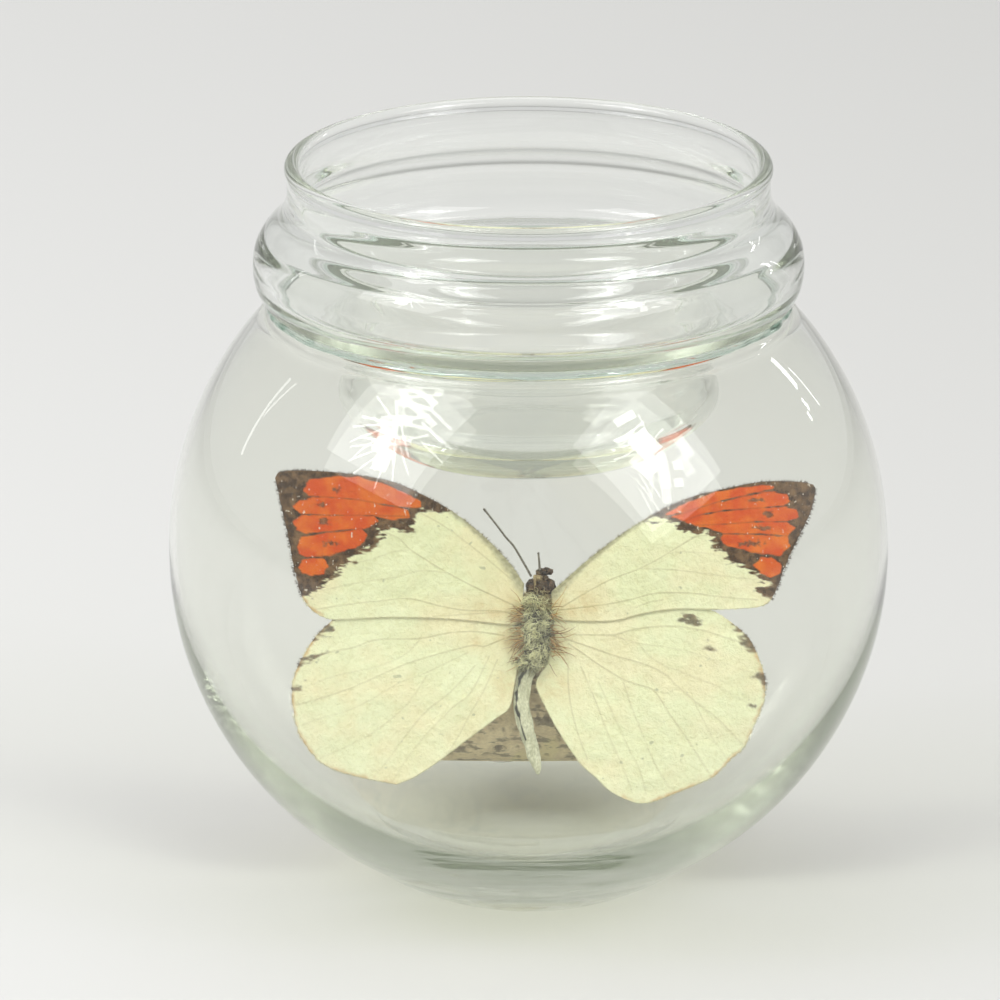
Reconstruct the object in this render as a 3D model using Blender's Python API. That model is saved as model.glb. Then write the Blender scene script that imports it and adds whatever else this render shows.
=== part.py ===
"""Butterfly fixed to a piece of cork inside a glass ball that is closed by a glass candle cup.

Metres, +Z up. The origin is the centre of the flat foot of the ball. Heights written below as
"from the middle" are measured from the centre of the ball, which is BALL_MIDDLE above the foot.
The insect is modelled in its own frame (x to the right, z towards the head, y away from the
viewer) and is leaned back as one by the empty that carries it.
"""
import math

import bmesh
import bpy
import numpy as np
from mathutils import Vector

MM = 0.001
TURNS = 44                      # facets round each turned piece

# Glass ball, in millimetres
BALL_RADIUS = 57.5
BALL_WALL = 1.2                 # above the middle; it thickens below
BALL_MIDDLE = 57.3              # height of the centre above the foot
INSIDE_DEPTH = 53.0             # bottom of the inside, below the middle
INSIDE_TOP = 42.0               # radius where the inside turns in to the lip
HEEL_RADIUS = 48.0              # tighter curve of the outside near the foot
HEEL_DROP = 11.2                # centre of that curve, below the middle
LIP_RADIUS = 41.8
LIP_WALL = 2.2
LIP_TOP = 39.9                  # from the middle
LIP_FOOT = 38.7                 # where the lip rises out of the ball
SHOULDER_RADIUS = 43.0          # the sphere ends here, a little outside the lip

# Candle cup, heights from the middle of the ball
CUP_UNDERSIDE = 17.0
CUP_RIM_RADIUS = 37.7
CUP_RIM_HEIGHT = 62.6
CUP_RIM_BEAD = 1.2
# (radius, height) down the outside, from below the rolled rim to the flat underside
CUP_OUTSIDE = [
    (38.6, 61.6), (38.6, 57.6), (39.8, 54.9), (42.1, 52.4), (43.5, 49.8), (43.9, 47.0),
    (43.5, 44.0), (42.3, 41.6), (40.8, 41.2), (38.0, 41.1), (32.2, 38.8), (29.3, 36.0),
    (28.3, 32.6), (29.6, 28.9), (30.1, 26.4), (29.2, 24.0), (26.0, 20.9), (21.8, 18.2),
    (17.0, CUP_UNDERSIDE),
]
# (radius, height) down the inside, from the rolled rim to the floor of the cup
CUP_INSIDE = [
    (36.7, 61.6), (36.7, 57.4), (38.2, 53.8), (40.5, 51.3), (41.7, 49.2), (42.0, 47.0),
    (41.6, 44.7), (40.5, 43.4), (37.5, 42.9), (31.2, 40.4), (27.7, 37.0), (26.4, 32.5),
    (27.7, 28.4), (28.1, 26.5), (27.4, 24.6), (24.6, 22.4), (20.0, 21.5), (0.0, 21.4),
]

# Sealant between the lip and the cup
SEALANT_LOW = 40.2
SEALANT_HIGH = 40.8
SEALANT_INNER = 39.5
SEALANT_OUTER = 42.1
SEALANT_WAVE = 0.22
SEALANT_BEVEL = 0.4

# Cork, a short round log lying along X
CORK_RADIUS = 12.0
CORK_LENGTH = 32.0
CORK_BEVEL = 0.7
CORK_CENTRE = (-1.7, 19.8, 24.3)
GLUE_CENTRE = (-5.0, 26.2)      # x, y
GLUE_REACH = (7.0, 2.3)         # half sizes in x and y
GLUE_SIDES = 16
GLUE_GAP = 0.7                  # to the bowl and to the round of the cork, at the rim

# Insect
INSECT_ORIGIN = (1.36, 10.1, 39.82)
INSECT_LEAN = math.radians(17.2)
WING_THICKNESS = 0.3
WING_RISE = 0.19                # forward rise of the wings for each millimetre outwards
WING_ROOT = 3.0                 # where the wings leave the thorax, from the midline
WING_DEPTH = -1.0               # depth of the wing roots, dorsal side of the body
FOREWING_LIFT = -0.35           # forewing in front of the hindwing
HINDWING_LIFT = 0.35
WING_BOW = 0.7
WING_SPAN = 42.0
WING_ROWS = 4

# The wall thickens downwards and lifts what is seen through it. The outlines below are as seen;
# low places are laid lower and wider by these shares of their depth and of its square.
GLASS_LOWER = (0.045, 0.0027)
GLASS_WIDER = (0.014, 0.0015)
GLASS_SIDE = 0.4                # lowering grows by this share towards the wing tips
GLASS_REACH = 40.0              # distance of the wing tips from the midline

# Root line (two points), then the margin from the front of the wing round to its hind end
FOREWING_LEFT = {
    "root": [(-2.8, 8.2), (-3.2, 1.3)],
    "margin": [
        (-4.2, 11.2), (-8.0, 15.4), (-13.0, 19.6), (-18.1, 22.6), (-23.1, 24.8), (-30.4, 26.1),
        (-37.2, 26.5), (-40.9, 26.2), (-41.8, 25.2), (-40.9, 20.4), (-39.7, 14.4), (-38.9, 9.6),
        (-37.7, 5.6), (-36.4, 3.7), (-34.8, 2.4), (-31.9, 1.8), (-23.1, 2.2), (-13.3, 1.9),
        (-4.6, 1.0),
    ],
}
FOREWING_RIGHT = {
    "root": [(2.9, 6.9), (3.2, 3.3)],
    "margin": [
        (5.3, 9.3), (7.2, 11.1), (10.1, 13.5), (13.9, 16.4), (17.5, 18.8), (21.0, 20.7),
        (24.8, 22.3), (28.4, 23.2), (35.8, 24.6), (41.8, 24.5), (44.1, 24.0), (44.5, 22.9),
        (43.7, 19.2), (42.1, 15.7), (41.0, 13.3), (39.3, 9.0), (38.2, 6.2), (37.0, 4.5),
        (35.3, 3.8), (29.0, 3.5), (16.5, 3.7), (4.6, 3.4),
    ],
}
HINDWING_LEFT = {
    "root": [(-3.2, 2.0), (-3.3, -4.2)],
    "margin": [
        (-6.0, 3.4), (-15.5, 4.8), (-25.2, 4.5), (-30.8, 3.4), (-33.2, 1.4), (-35.9, -1.4),
        (-38.5, -5.8), (-39.5, -9.5), (-38.9, -14.9), (-37.5, -17.9), (-35.3, -20.5),
        (-32.7, -22.0), (-29.8, -22.9), (-26.0, -23.7), (-22.4, -24.4), (-19.4, -23.2),
        (-11.1, -17.4), (-6.6, -14.1), (-4.5, -12.3), (-4.1, -8.6),
    ],
}
HINDWING_RIGHT = {
    "root": [(3.2, 2.0), (2.5, -5.0)],
    "margin": [
        (6.0, 3.6), (13.3, 5.1), (24.5, 4.6), (28.4, 3.2), (31.2, 1.4), (34.1, -1.3),
        (35.7, -4.5), (36.7, -7.5), (36.9, -9.6), (36.4, -12.2), (35.3, -14.7), (34.3, -17.1),
        (33.0, -19.2), (31.1, -20.7), (29.6, -22.4), (27.9, -23.7), (26.0, -24.5),
        (22.1, -26.1), (18.6, -27.4), (16.2, -27.6), (13.8, -26.8), (11.4, -25.4),
        (6.9, -21.2), (3.8, -16.7), (1.4, -12.3), (-0.1, -8.6),
    ],
}

# Body rings from the tip of the abdomen to the face: x, y, z, half width, half depth
BODY_RINGS = [
    (0.1, -0.2, -22.9, 0.35, 0.35), (-0.4, -0.2, -20.8, 1.1, 1.0), (-1.1, -0.2, -18.4, 1.3, 1.2),
    (-1.9, -0.2, -15.2, 1.4, 1.3), (-2.5, -0.2, -11.2, 1.4, 1.3), (-2.0, -0.1, -7.2, 1.3, 1.3),
    (-0.9, 0.0, -5.4, 1.6, 1.5), (0.0, 0.0, -3.4, 2.2, 1.9), (0.0, 0.0, 0.0, 2.6, 2.2),
    (0.0, 0.0, 3.4, 2.5, 2.2), (0.0, 0.0, 5.6, 1.9, 1.7), (0.2, 0.0, 6.6, 1.5, 1.3),
    (0.4, 0.0, 8.0, 2.0, 1.5), (0.5, 0.0, 9.4, 1.8, 1.4), (0.6, 0.0, 10.3, 1.0, 0.9),
]
BODY_SIDES = 12
# Legs of the right side, hip to toe; the left ones are their mirror image
LEGS = [
    [(1.2, 1.0, 4.6), (3.2, 4.6, 6.0), (3.6, 8.0, 3.6), (3.2, 10.2, 0.35)],
    [(1.4, 1.0, 3.0), (4.0, 4.4, 4.2), (4.6, 6.8, 2.0), (4.4, 8.3, -0.55)],
    [(1.4, 1.0, 1.4), (3.6, 3.6, 2.4), (5.2, 5.4, 0.4), (5.4, 6.4, -1.75)],
]
LEG_RADIUS = 0.28
ANTENNA_RADIUS = 0.2
ANTENNA_LEFT = [(-0.9, -0.9, 10.4), (-3.2, -1.8, 13.6), (-5.8, -2.8, 17.2), (-8.5, -3.6, 20.4)]
ANTENNA_RIGHT = [(0.7, -0.9, 11.0), (0.5, -1.1, 12.1), (0.3, -1.3, 13.1)]


def clear_scene():
    for thing in list(bpy.data.objects):
        bpy.data.objects.remove(thing, do_unlink=True)


def make_material(name, colour, roughness, metallic=0.0, transmission=0.0):
    material = bpy.data.materials.new(name)
    material.use_nodes = True
    shader = material.node_tree.nodes["Principled BSDF"]
    shader.inputs["Base Color"].default_value = (*colour, 1.0)
    shader.inputs["Roughness"].default_value = roughness
    shader.inputs["Metallic"].default_value = metallic
    shader.inputs["Transmission Weight"].default_value = transmission
    material.diffuse_color = (*colour, 1.0)
    return material


def add_object(name, mesh, material, parent=None):
    piece = bpy.data.objects.new(name, mesh)
    bpy.context.collection.objects.link(piece)
    mesh.materials.append(material)
    mesh.shade_smooth()
    mesh.set_sharp_from_angle(angle=math.radians(40))
    piece.parent = parent
    return piece


def finish_mesh(name, bm):
    """Merge doubles, point the faces outwards and return the mesh."""
    bmesh.ops.remove_doubles(bm, verts=bm.verts, dist=1e-6)
    bmesh.ops.recalc_face_normals(bm, faces=bm.faces)
    mesh = bpy.data.meshes.new(name)
    bm.to_mesh(mesh)
    bm.free()
    return mesh


def arc(centre, radius, start, end, steps):
    """Points on a circle of the (radius, height) plane, angles in degrees from +radius."""
    angles = np.radians(np.linspace(start, end, steps))
    return [(centre[0] + radius * math.cos(a), centre[1] + radius * math.sin(a)) for a in angles]


def turned_mesh(name, section):
    """Turn a (radius, height) section, in millimetres, about the Z axis."""
    bm = bmesh.new()
    corners = [bm.verts.new((r * MM, 0.0, (z + BALL_MIDDLE) * MM)) for r, z in section]
    edges = [bm.edges.new(pair) for pair in zip(corners, corners[1:])]
    bmesh.ops.spin(
        bm, geom=corners + edges, cent=(0, 0, 0), axis=(0, 0, 1), angle=math.tau, steps=TURNS,
        use_merge=True,
    )
    return finish_mesh(name, bm)


def tube_rings(path, radii, sides):
    """Rings of points square to a path, one ring for each point of the path."""
    path = [Vector(p) * MM for p in path]
    rings = []
    for i, point in enumerate(path):
        ahead = (path[min(i + 1, len(path) - 1)] - path[max(i - 1, 0)]).normalized()
        across = ahead.cross(Vector((0, 1, 0))).normalized()
        upward = across.cross(ahead)
        turn = [math.tau * k / sides for k in range(sides)]
        rings.append([
            point + (across * math.cos(a) + upward * math.sin(a)) * radii[i] * MM for a in turn
        ])
    return rings


def bridge_rings(bm, rings):
    """Skin a row of rings and cap both ends."""
    loops = [[bm.verts.new(p) for p in ring] for ring in rings]
    sides = len(loops[0])
    for low, high in zip(loops, loops[1:]):
        for k in range(sides):
            after = (k + 1) % sides
            bm.faces.new((low[k], low[after], high[after], high[k]))
    bm.faces.new(loops[0])
    bm.faces.new(loops[-1])


def build_glass_ball(material):
    """Foot, heel, sphere and lip, then the inside: a sphere over the lower half of an ellipse."""
    foot = -BALL_MIDDLE
    foot_radius = math.sqrt(HEEL_RADIUS**2 - (foot + HEEL_DROP)**2)
    # the heel curve and the ball cross where both circles have the same radius and height
    join = (HEEL_RADIUS**2 - BALL_RADIUS**2 - HEEL_DROP**2) / (2 * HEEL_DROP)
    heel_start = math.degrees(math.asin((foot + HEEL_DROP) / HEEL_RADIUS))
    heel_end = math.degrees(math.asin((join + HEEL_DROP) / HEEL_RADIUS))
    ball_start = math.degrees(math.asin(join / BALL_RADIUS))
    shoulder = math.degrees(math.acos(SHOULDER_RADIUS / BALL_RADIUS))
    outside = [(0.0, foot)]
    outside += [(foot_radius, foot)]
    outside += arc((0, -HEEL_DROP), HEEL_RADIUS, heel_start, heel_end, 4)[1:]
    outside += arc((0, 0), BALL_RADIUS, ball_start, 0, 8)[1:]
    outside += arc((0, 0), BALL_RADIUS, 0, shoulder, 7)[1:]
    outside += [(LIP_RADIUS, LIP_FOOT)]
    lip_round = LIP_WALL / 2
    lip = arc((LIP_RADIUS - lip_round, LIP_TOP - lip_round), lip_round, 30, 150, 3)

    inner_radius = BALL_RADIUS - BALL_WALL
    inner_top = math.degrees(math.acos(INSIDE_TOP / inner_radius))
    squash = INSIDE_DEPTH / inner_radius
    inside = [(LIP_RADIUS - LIP_WALL, LIP_TOP - lip_round)]
    inside += arc((0, 0), inner_radius, inner_top, 0, 5)
    inside += [(r, z * squash) for r, z in arc((0, 0), inner_radius, 0, -90, 10)[1:]]
    mesh = turned_mesh("glass_ball", outside + lip + inside)
    return add_object("glass_ball", mesh, material)


def build_candle_cup(material):
    """Cup turned from its outside line, the rolled rim and its inside line."""
    bead = arc((CUP_RIM_RADIUS, CUP_RIM_HEIGHT), CUP_RIM_BEAD, -45, 225, 7)
    section = [(0.0, CUP_UNDERSIDE)] + CUP_OUTSIDE[:0:-1] + bead + CUP_INSIDE[1:]
    mesh = turned_mesh("candle_cup", section)
    return add_object("candle_cup", mesh, material)


def build_sealant_ring(material):
    """Flat bead between lip and cup, whose outer edge was squeezed out unevenly."""
    middle = (SEALANT_LOW + SEALANT_HIGH) / 2
    rings = []
    for i in range(TURNS):
        a = math.tau * i / TURNS
        wave = SEALANT_WAVE * (math.sin(5 * a + 0.8) + 0.6 * math.sin(9 * a + 2.1))
        outer = SEALANT_OUTER + wave
        section = [
            (SEALANT_INNER, SEALANT_LOW), (outer - SEALANT_BEVEL, SEALANT_LOW), (outer, middle),
            (outer - SEALANT_BEVEL, SEALANT_HIGH), (SEALANT_INNER, SEALANT_HIGH),
        ]
        rings.append([
            Vector((r * math.cos(a), r * math.sin(a), z + BALL_MIDDLE)) * MM for r, z in section
        ])
    bm = bmesh.new()
    loops = [[bm.verts.new(p) for p in ring] for ring in rings]
    for i, low in enumerate(loops):
        high = loops[(i + 1) % TURNS]
        for k in range(len(low)):
            after = (k + 1) % len(low)
            bm.faces.new((low[k], low[after], high[after], high[k]))
    return add_object("sealant_ring", finish_mesh("sealant_ring", bm), material)


def bowl_height(x, y):
    """Height of the inside of the ball under a place, above the foot."""
    reach = (x * x + y * y) / (BALL_RADIUS - BALL_WALL)**2
    return BALL_MIDDLE - INSIDE_DEPTH * math.sqrt(1.0 - reach)


def cork_underside(y):
    return CORK_CENTRE[2] - math.sqrt(CORK_RADIUS**2 - (y - CORK_CENTRE[1])**2)


def build_glue_pad(material):
    """Fill between the bowl and the round underside of the cork, oval seen from above."""
    low, high = [], []
    for k in range(GLUE_SIDES):
        a = math.tau * k / GLUE_SIDES
        x = GLUE_CENTRE[0] + GLUE_REACH[0] * math.cos(a)
        y = GLUE_CENTRE[1] + GLUE_REACH[1] * math.sin(a)
        low.append(Vector((x, y, bowl_height(x, y) + GLUE_GAP)) * MM)
        high.append(Vector((x, y, cork_underside(y) - GLUE_GAP)) * MM)
    bm = bmesh.new()
    bridge_rings(bm, [low, high])
    bmesh.ops.triangulate(bm, faces=bm.faces)
    return add_object("glue_pad", finish_mesh("glue_pad", bm), material)


def build_cork(material):
    """Round log of cork lying along X, with worn edges."""
    bm = bmesh.new()
    bmesh.ops.create_cone(
        bm, cap_ends=True, segments=32, radius1=CORK_RADIUS * MM, radius2=CORK_RADIUS * MM,
        depth=CORK_LENGTH * MM,
    )
    cork = add_object("cork_block", finish_mesh("cork_block", bm), material)
    edge = cork.modifiers.new("worn edge", "BEVEL")
    edge.width = CORK_BEVEL * MM
    edge.segments = 2
    edge.limit_method = "ANGLE"
    edge.angle_limit = math.radians(60)
    cork.rotation_euler = (0.0, math.radians(90), 0.0)
    cork.location = Vector(CORK_CENTRE) * MM
    return cork


def behind_glass(x, z):
    """True place, in the insect's frame, of a place seen at (x, z) through the wall."""
    low = max(-z, 0.0)
    side = x / GLASS_REACH
    wider = side * (GLASS_WIDER[0] * low + GLASS_WIDER[1] * low**2)
    lower = (GLASS_LOWER[0] * low + GLASS_LOWER[1] * low**2) * (1.0 + GLASS_SIDE * side**2)
    return x + wider, z - lower


def wing_depth(x, lift):
    """Depth of the wing sheet: it rises towards the viewer outwards, with a slight bow."""
    outward = abs(x) - WING_ROOT
    bow = WING_BOW * math.sin(math.pi * min(max(outward / WING_SPAN, 0.0), 1.0))
    return WING_DEPTH + lift - WING_RISE * outward + bow


def build_wing(name, outline, lift, material, parent):
    """Sheet ruled from the root line to the margin, made solid by its thickness."""
    start, end = (np.array(p) for p in outline["root"])
    margin = np.array(outline["margin"])
    columns = len(margin)
    bm = bmesh.new()
    grid = []
    for i in range(columns):
        root = start + (end - start) * i / (columns - 1)
        line = []
        for j in range(WING_ROWS + 1):
            x, z = behind_glass(*(root + (margin[i] - root) * j / WING_ROWS))
            line.append(bm.verts.new(Vector((x, wing_depth(x, lift), z)) * MM))
        grid.append(line)
    for here, after in zip(grid, grid[1:]):
        for j in range(WING_ROWS):
            bm.faces.new((here[j], after[j], after[j + 1], here[j + 1]))
    mesh = bpy.data.meshes.new(name)
    bm.to_mesh(mesh)
    bm.free()
    wing = add_object(name, mesh, material, parent)
    sheet = wing.modifiers.new("thickness", "SOLIDIFY")
    sheet.thickness = WING_THICKNESS * MM
    sheet.offset = 0.0
    return wing


def build_body(material, parent):
    """Abdomen, thorax and head as one skin of elliptic rings, with the legs joined on."""
    rings = []
    for seen_x, y, seen_z, wide, deep in BODY_RINGS:
        x, z = behind_glass(seen_x, seen_z)
        turn = [math.tau * k / BODY_SIDES for k in range(BODY_SIDES)]
        rings.append([
            Vector((x + wide * math.cos(a), y + deep * math.sin(a), z)) * MM for a in turn
        ])
    bm = bmesh.new()
    bridge_rings(bm, rings)
    body = add_object("butterfly_body", finish_mesh("butterfly_body", bm), material, parent)
    for side in (1, -1):
        for number, leg in enumerate(LEGS):
            path = [(x * side, y, z) for x, y, z in leg]
            radii = [LEG_RADIUS * (1.0 - 0.14 * k) for k in range(len(path))]
            bm = bmesh.new()
            bridge_rings(bm, tube_rings(path, radii, 6))
            label = f"leg_{number}_{'right' if side > 0 else 'left'}"
            cutter = add_object(label, finish_mesh(label, bm), material, parent)
            cutter.hide_render = True
            cutter.display_type = "WIRE"
            join = body.modifiers.new(label, "BOOLEAN")
            join.operation = "UNION"
            join.object = cutter
    return body


def build_antenna(name, path, material, parent):
    """Thin feeler, a little thicker towards its end."""
    radii = [ANTENNA_RADIUS * (1.0 + 0.1 * k) for k in range(len(path))]
    bm = bmesh.new()
    bridge_rings(bm, tube_rings(path, radii, 6))
    return add_object(name, finish_mesh(name, bm), material, parent)


def main():
    clear_scene()
    glass = make_material("clear glass", (0.93, 0.97, 0.95), 0.02, transmission=1.0)
    sealant = make_material("clear sealant", (0.80, 0.84, 0.66), 0.15, transmission=0.8)
    cork = make_material("natural cork", (0.52, 0.40, 0.29), 0.9)
    glue = make_material("clear glue", (0.86, 0.86, 0.80), 0.2, transmission=0.8)
    fur = make_material("insect fur", (0.45, 0.44, 0.38), 0.95)
    wing = make_material("wing scales", (0.84, 0.80, 0.58), 0.85)
    feeler = make_material("dark feeler", (0.14, 0.11, 0.09), 0.6)

    build_glass_ball(glass)
    build_candle_cup(glass)
    build_sealant_ring(sealant)
    build_glue_pad(glue)
    build_cork(cork)

    carrier = bpy.data.objects.new("insect_frame", None)
    bpy.context.collection.objects.link(carrier)
    carrier.location = Vector(INSECT_ORIGIN) * MM
    carrier.rotation_euler = (-INSECT_LEAN, 0.0, 0.0)
    build_body(fur, carrier)
    build_wing("hindwing_left", HINDWING_LEFT, HINDWING_LIFT, wing, carrier)
    build_wing("hindwing_right", HINDWING_RIGHT, HINDWING_LIFT, wing, carrier)
    build_wing("forewing_left", FOREWING_LEFT, FOREWING_LIFT, wing, carrier)
    build_wing("forewing_right", FOREWING_RIGHT, FOREWING_LIFT, wing, carrier)
    build_antenna("antenna_left", ANTENNA_LEFT, feeler, carrier)
    build_antenna("antenna_right", ANTENNA_RIGHT, feeler, carrier)


main()
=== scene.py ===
import math

import bpy
import numpy as np
from mathutils import Matrix, Vector


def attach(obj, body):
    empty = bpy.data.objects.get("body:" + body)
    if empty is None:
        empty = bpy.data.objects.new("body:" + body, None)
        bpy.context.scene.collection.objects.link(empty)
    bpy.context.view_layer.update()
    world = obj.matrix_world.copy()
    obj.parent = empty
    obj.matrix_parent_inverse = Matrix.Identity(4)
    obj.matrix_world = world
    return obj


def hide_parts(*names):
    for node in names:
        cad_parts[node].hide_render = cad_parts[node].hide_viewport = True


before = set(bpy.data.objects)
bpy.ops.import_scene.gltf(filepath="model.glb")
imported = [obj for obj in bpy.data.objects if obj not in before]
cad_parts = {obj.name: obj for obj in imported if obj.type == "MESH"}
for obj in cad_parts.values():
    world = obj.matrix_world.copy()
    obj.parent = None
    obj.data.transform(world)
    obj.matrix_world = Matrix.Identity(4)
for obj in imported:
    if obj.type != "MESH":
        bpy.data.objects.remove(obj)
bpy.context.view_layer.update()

mm = 0.001
ballMiddle = 57.3  # height of the ball's centre above its foot, mm


# smooth step of x between two limits, 0 below the first and 1 above the second
def rise(x, low, high):
    t = np.clip((x - low) / (high - low), 0.0, 1.0)
    return t * t * (3.0 - 2.0 * t)


# repeatable pseudo-random value for each whole-number lattice point, -1 to 1
def latticeValue(i, j, k, seed):
    h = (i * 374761393 + j * 668265263 + k * 1440662683 + seed * 974634777) & 0xFFFFFFFF
    h = ((h ^ (h >> 13)) * 1274126177) & 0xFFFFFFFF
    return ((h ^ (h >> 16)) & 0xFFFF) / 32767.5 - 1.0


# value noise: lattice values blended with a smooth step along each axis
def noise(points, size, seed):
    p = np.asarray(points, float) / size
    if p.shape[-1] == 2:
        p = np.concatenate([p, np.zeros(p.shape[:-1] + (1,))], axis=-1)
    base = np.floor(p).astype(np.int64)
    f = p - base
    f = f * f * (3.0 - 2.0 * f)
    total = 0.0
    for corner in range(8):
        di, dj, dk = corner & 1, (corner >> 1) & 1, corner >> 2
        weight = (
            np.where(di, f[..., 0], 1 - f[..., 0])
            * np.where(dj, f[..., 1], 1 - f[..., 1])
            * np.where(dk, f[..., 2], 1 - f[..., 2])
        )
        total = total + weight * latticeValue(base[..., 0] + di, base[..., 1] + dj, base[..., 2] + dk, seed)
    return total


# sum of noises, each of half the size and half the strength of the one before
def layeredNoise(points, size, seed, layers=3):
    return sum(noise(points, size / 2**n, seed + 17 * n) / 2**n for n in range(layers))


# Catmull-Rom curve through the points, resampled at even steps along its length
def smoothLine(points, count):
    p = np.asarray(points, float)
    ends = np.vstack([2 * p[0] - p[1], p, 2 * p[-1] - p[-2]])
    t = np.linspace(0, 1, 16, endpoint=False)[:, None]
    parts = []
    for a, b, c, d in zip(ends[:-3], ends[1:-2], ends[2:-1], ends[3:]):
        square, cube = 2 * a - 5 * b + 4 * c - d, 3 * b - a - 3 * c + d
        parts.append(0.5 * (2 * b + (c - a) * t + square * t**2 + cube * t**3))
    return evenSteps(np.vstack(parts + [p[-1:]]), count)


# the same line with its points at even steps along its length
def evenSteps(line, count):
    along = np.concatenate([[0], np.cumsum(np.linalg.norm(np.diff(line, axis=0), axis=1))])
    at = np.linspace(0, along[-1], count)
    return np.stack([np.interp(at, along, line[:, k]) for k in range(line.shape[1])], axis=1)


# points on a circle of the (radius, height) plane, angles in degrees
def arcLine(centre, radius, start, end, count=40):
    a = np.radians(np.linspace(start, end, count))
    return np.stack([centre[0] + radius * np.cos(a), centre[1] + radius * np.sin(a)], axis=1)


# object with the given corners (mm) and faces, turned inside out if its volume is negative
def makePiece(name, corners, quads, triangles=None):
    faces = [] if quads is None else quads.tolist()
    faces += [] if triangles is None else triangles.tolist()
    a, b, c = (corners[np.array([f[k] for f in faces])] for k in range(3))
    volume = np.einsum("ij,ij->i", a, np.cross(b, c)).sum()
    if quads is not None:
        q = corners[quads]
        volume += np.einsum("ij,ij->i", q[:, 0], np.cross(q[:, 2], q[:, 3])).sum()
    if volume < 0:
        faces = [f[::-1] for f in faces]
    mesh = bpy.data.meshes.new(name)
    mesh.from_pydata((corners * mm).tolist(), [], faces)
    mesh.validate()
    mesh.shade_smooth()
    piece = bpy.data.objects.new(name, mesh)
    bpy.context.collection.objects.link(piece)
    return piece


# quads of a grid of rows and columns, whose last column joins its first when it wraps
def gridQuads(rows, columns, wrap=True):
    i, j = np.meshgrid(np.arange(rows - 1), np.arange(columns if wrap else columns - 1), indexing="ij")
    k = (j + 1) % columns
    here, above = i * columns, (i + 1) * columns
    return np.stack([here + j, here + k, above + k, above + j], -1).reshape(-1, 4)


# a stack of closed rings, with a point at each end joined to its ring by triangles
def ringStack(name, rings, first, last):
    rows, columns = rings.shape[:2]
    corners = np.vstack([rings.reshape(-1, 3), [first], [last]])
    j = np.arange(columns)
    k = (j + 1) % columns
    low = np.stack([k, j, np.full(columns, rows * columns)], 1)
    top = (rows - 1) * columns
    high = np.stack([top + j, top + k, np.full(columns, rows * columns + 1)], 1)
    return makePiece(name, corners, gridQuads(rows, columns), np.vstack([low, high]))


# section (radius, height) carried round the Z axis; both its ends lie on the axis
def turnedPiece(name, section, turns, waver=None):
    a = np.linspace(0, math.tau, turns, endpoint=False)
    radius, height = section[1:-1, 0][:, None], section[1:-1, 1][:, None]
    angle = np.broadcast_to(a, (len(radius), turns))
    if waver is not None:
        radius = radius - waver(angle, radius, height)
    level = np.broadcast_to(height + ballMiddle, angle.shape)
    rings = np.stack([radius * np.cos(angle), radius * np.sin(angle), level], -1)
    first, last = ([0.0, 0.0, section[n, 1] + ballMiddle] for n in (0, -1))
    return ringStack(name, rings, first, last)


# round tube along a line, its radius given at each point, its ends closed by a point
def tubePiece(name, line, radius, sides=10):
    tangent = np.gradient(line, axis=0)
    tangent /= np.linalg.norm(tangent, axis=1)[:, None]
    across = np.cross(tangent, [0.0, 1.0, 0.0])
    across /= np.linalg.norm(across, axis=1)[:, None]
    upward = np.cross(across, tangent)
    a = np.linspace(0, math.tau, sides, endpoint=False)
    c, s = np.cos(a)[None, :, None], np.sin(a)[None, :, None]
    rings = line[:, None] + radius[:, None, None] * (across[:, None] * c + upward[:, None] * s)
    first = line[0] - tangent[0] * radius[0] * 0.5
    last = line[-1] + tangent[-1] * radius[-1] * 0.5
    return ringStack(name, rings, first, last)


# thin tapered fibres along root + length (way s + bend s^2), with a helix of the curl's width round
# it that starts 2.4 radians further on each fibre; the fibre's shade is kept on its corners as "tone"
def fibrePiece(name, roots, ways, bends, lengths, widths, tones, steps, curl=0.0, turn=5.0):
    count, sides = len(roots), 3
    ways = ways / np.linalg.norm(ways, axis=1)[:, None]
    s = np.linspace(0, 1, steps + 1)
    run = ways[:, None] * s[None, :, None] + bends[:, None] * (s**2)[None, :, None]
    line = roots[:, None] + lengths[:, None, None] * run
    side = np.cross(ways, [0.3, 0.8, 0.52])
    side /= np.linalg.norm(side, axis=1)[:, None]
    other = np.cross(side, ways)
    start = np.arange(count)[:, None] * 2.4
    wave = s[None] * turn + start
    sway = side[:, None] * (np.sin(wave) - np.sin(start))[..., None]
    sway = sway + other[:, None] * (np.cos(wave) - np.cos(start))[..., None]
    line = line + curl * lengths[:, None, None] * sway
    a = np.linspace(0, math.tau, sides, endpoint=False)
    taper = (1 - s[:-1] ** 2 * 0.75)[None, :, None, None] * widths[:, None, None, None]
    c, d = np.cos(a)[None, None, :, None], np.sin(a)[None, None, :, None]
    body = line[:, :-1, None] + taper * (side[:, None, None] * c + other[:, None, None] * d)
    each = steps * sides + 1
    corners = np.concatenate([body.reshape(count, -1, 3), line[:, -1:]], axis=1).reshape(-1, 3)
    j = np.arange(sides)
    top = (steps - 1) * sides
    tip = np.stack([top + j, top + (j + 1) % sides, np.full(sides, each - 1)], 1)
    shift = (np.arange(count) * each)[:, None, None]
    quads = (gridQuads(steps, sides)[None] + shift).reshape(-1, 4)
    triangles = (np.vstack([tip, [[2, 1, 0]]])[None] + shift).reshape(-1, 3)
    piece = makePiece(name, corners, quads, triangles)
    keepMask(piece, "tone", np.repeat(tones, each))
    return piece


# one number for each corner, kept with the mesh under a name
def keepMask(piece, name, values):
    layer = piece.data.attributes.new(name, "FLOAT", "POINT")
    layer.data.foreach_set("value", np.asarray(values, np.float32).ravel())


# the insect's own frame (x right, z to the head, -y to the viewer) laid into the object's frame
insectPose = {"origin": (1.36, 10.1, 39.82), "lean": 17.2}


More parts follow.
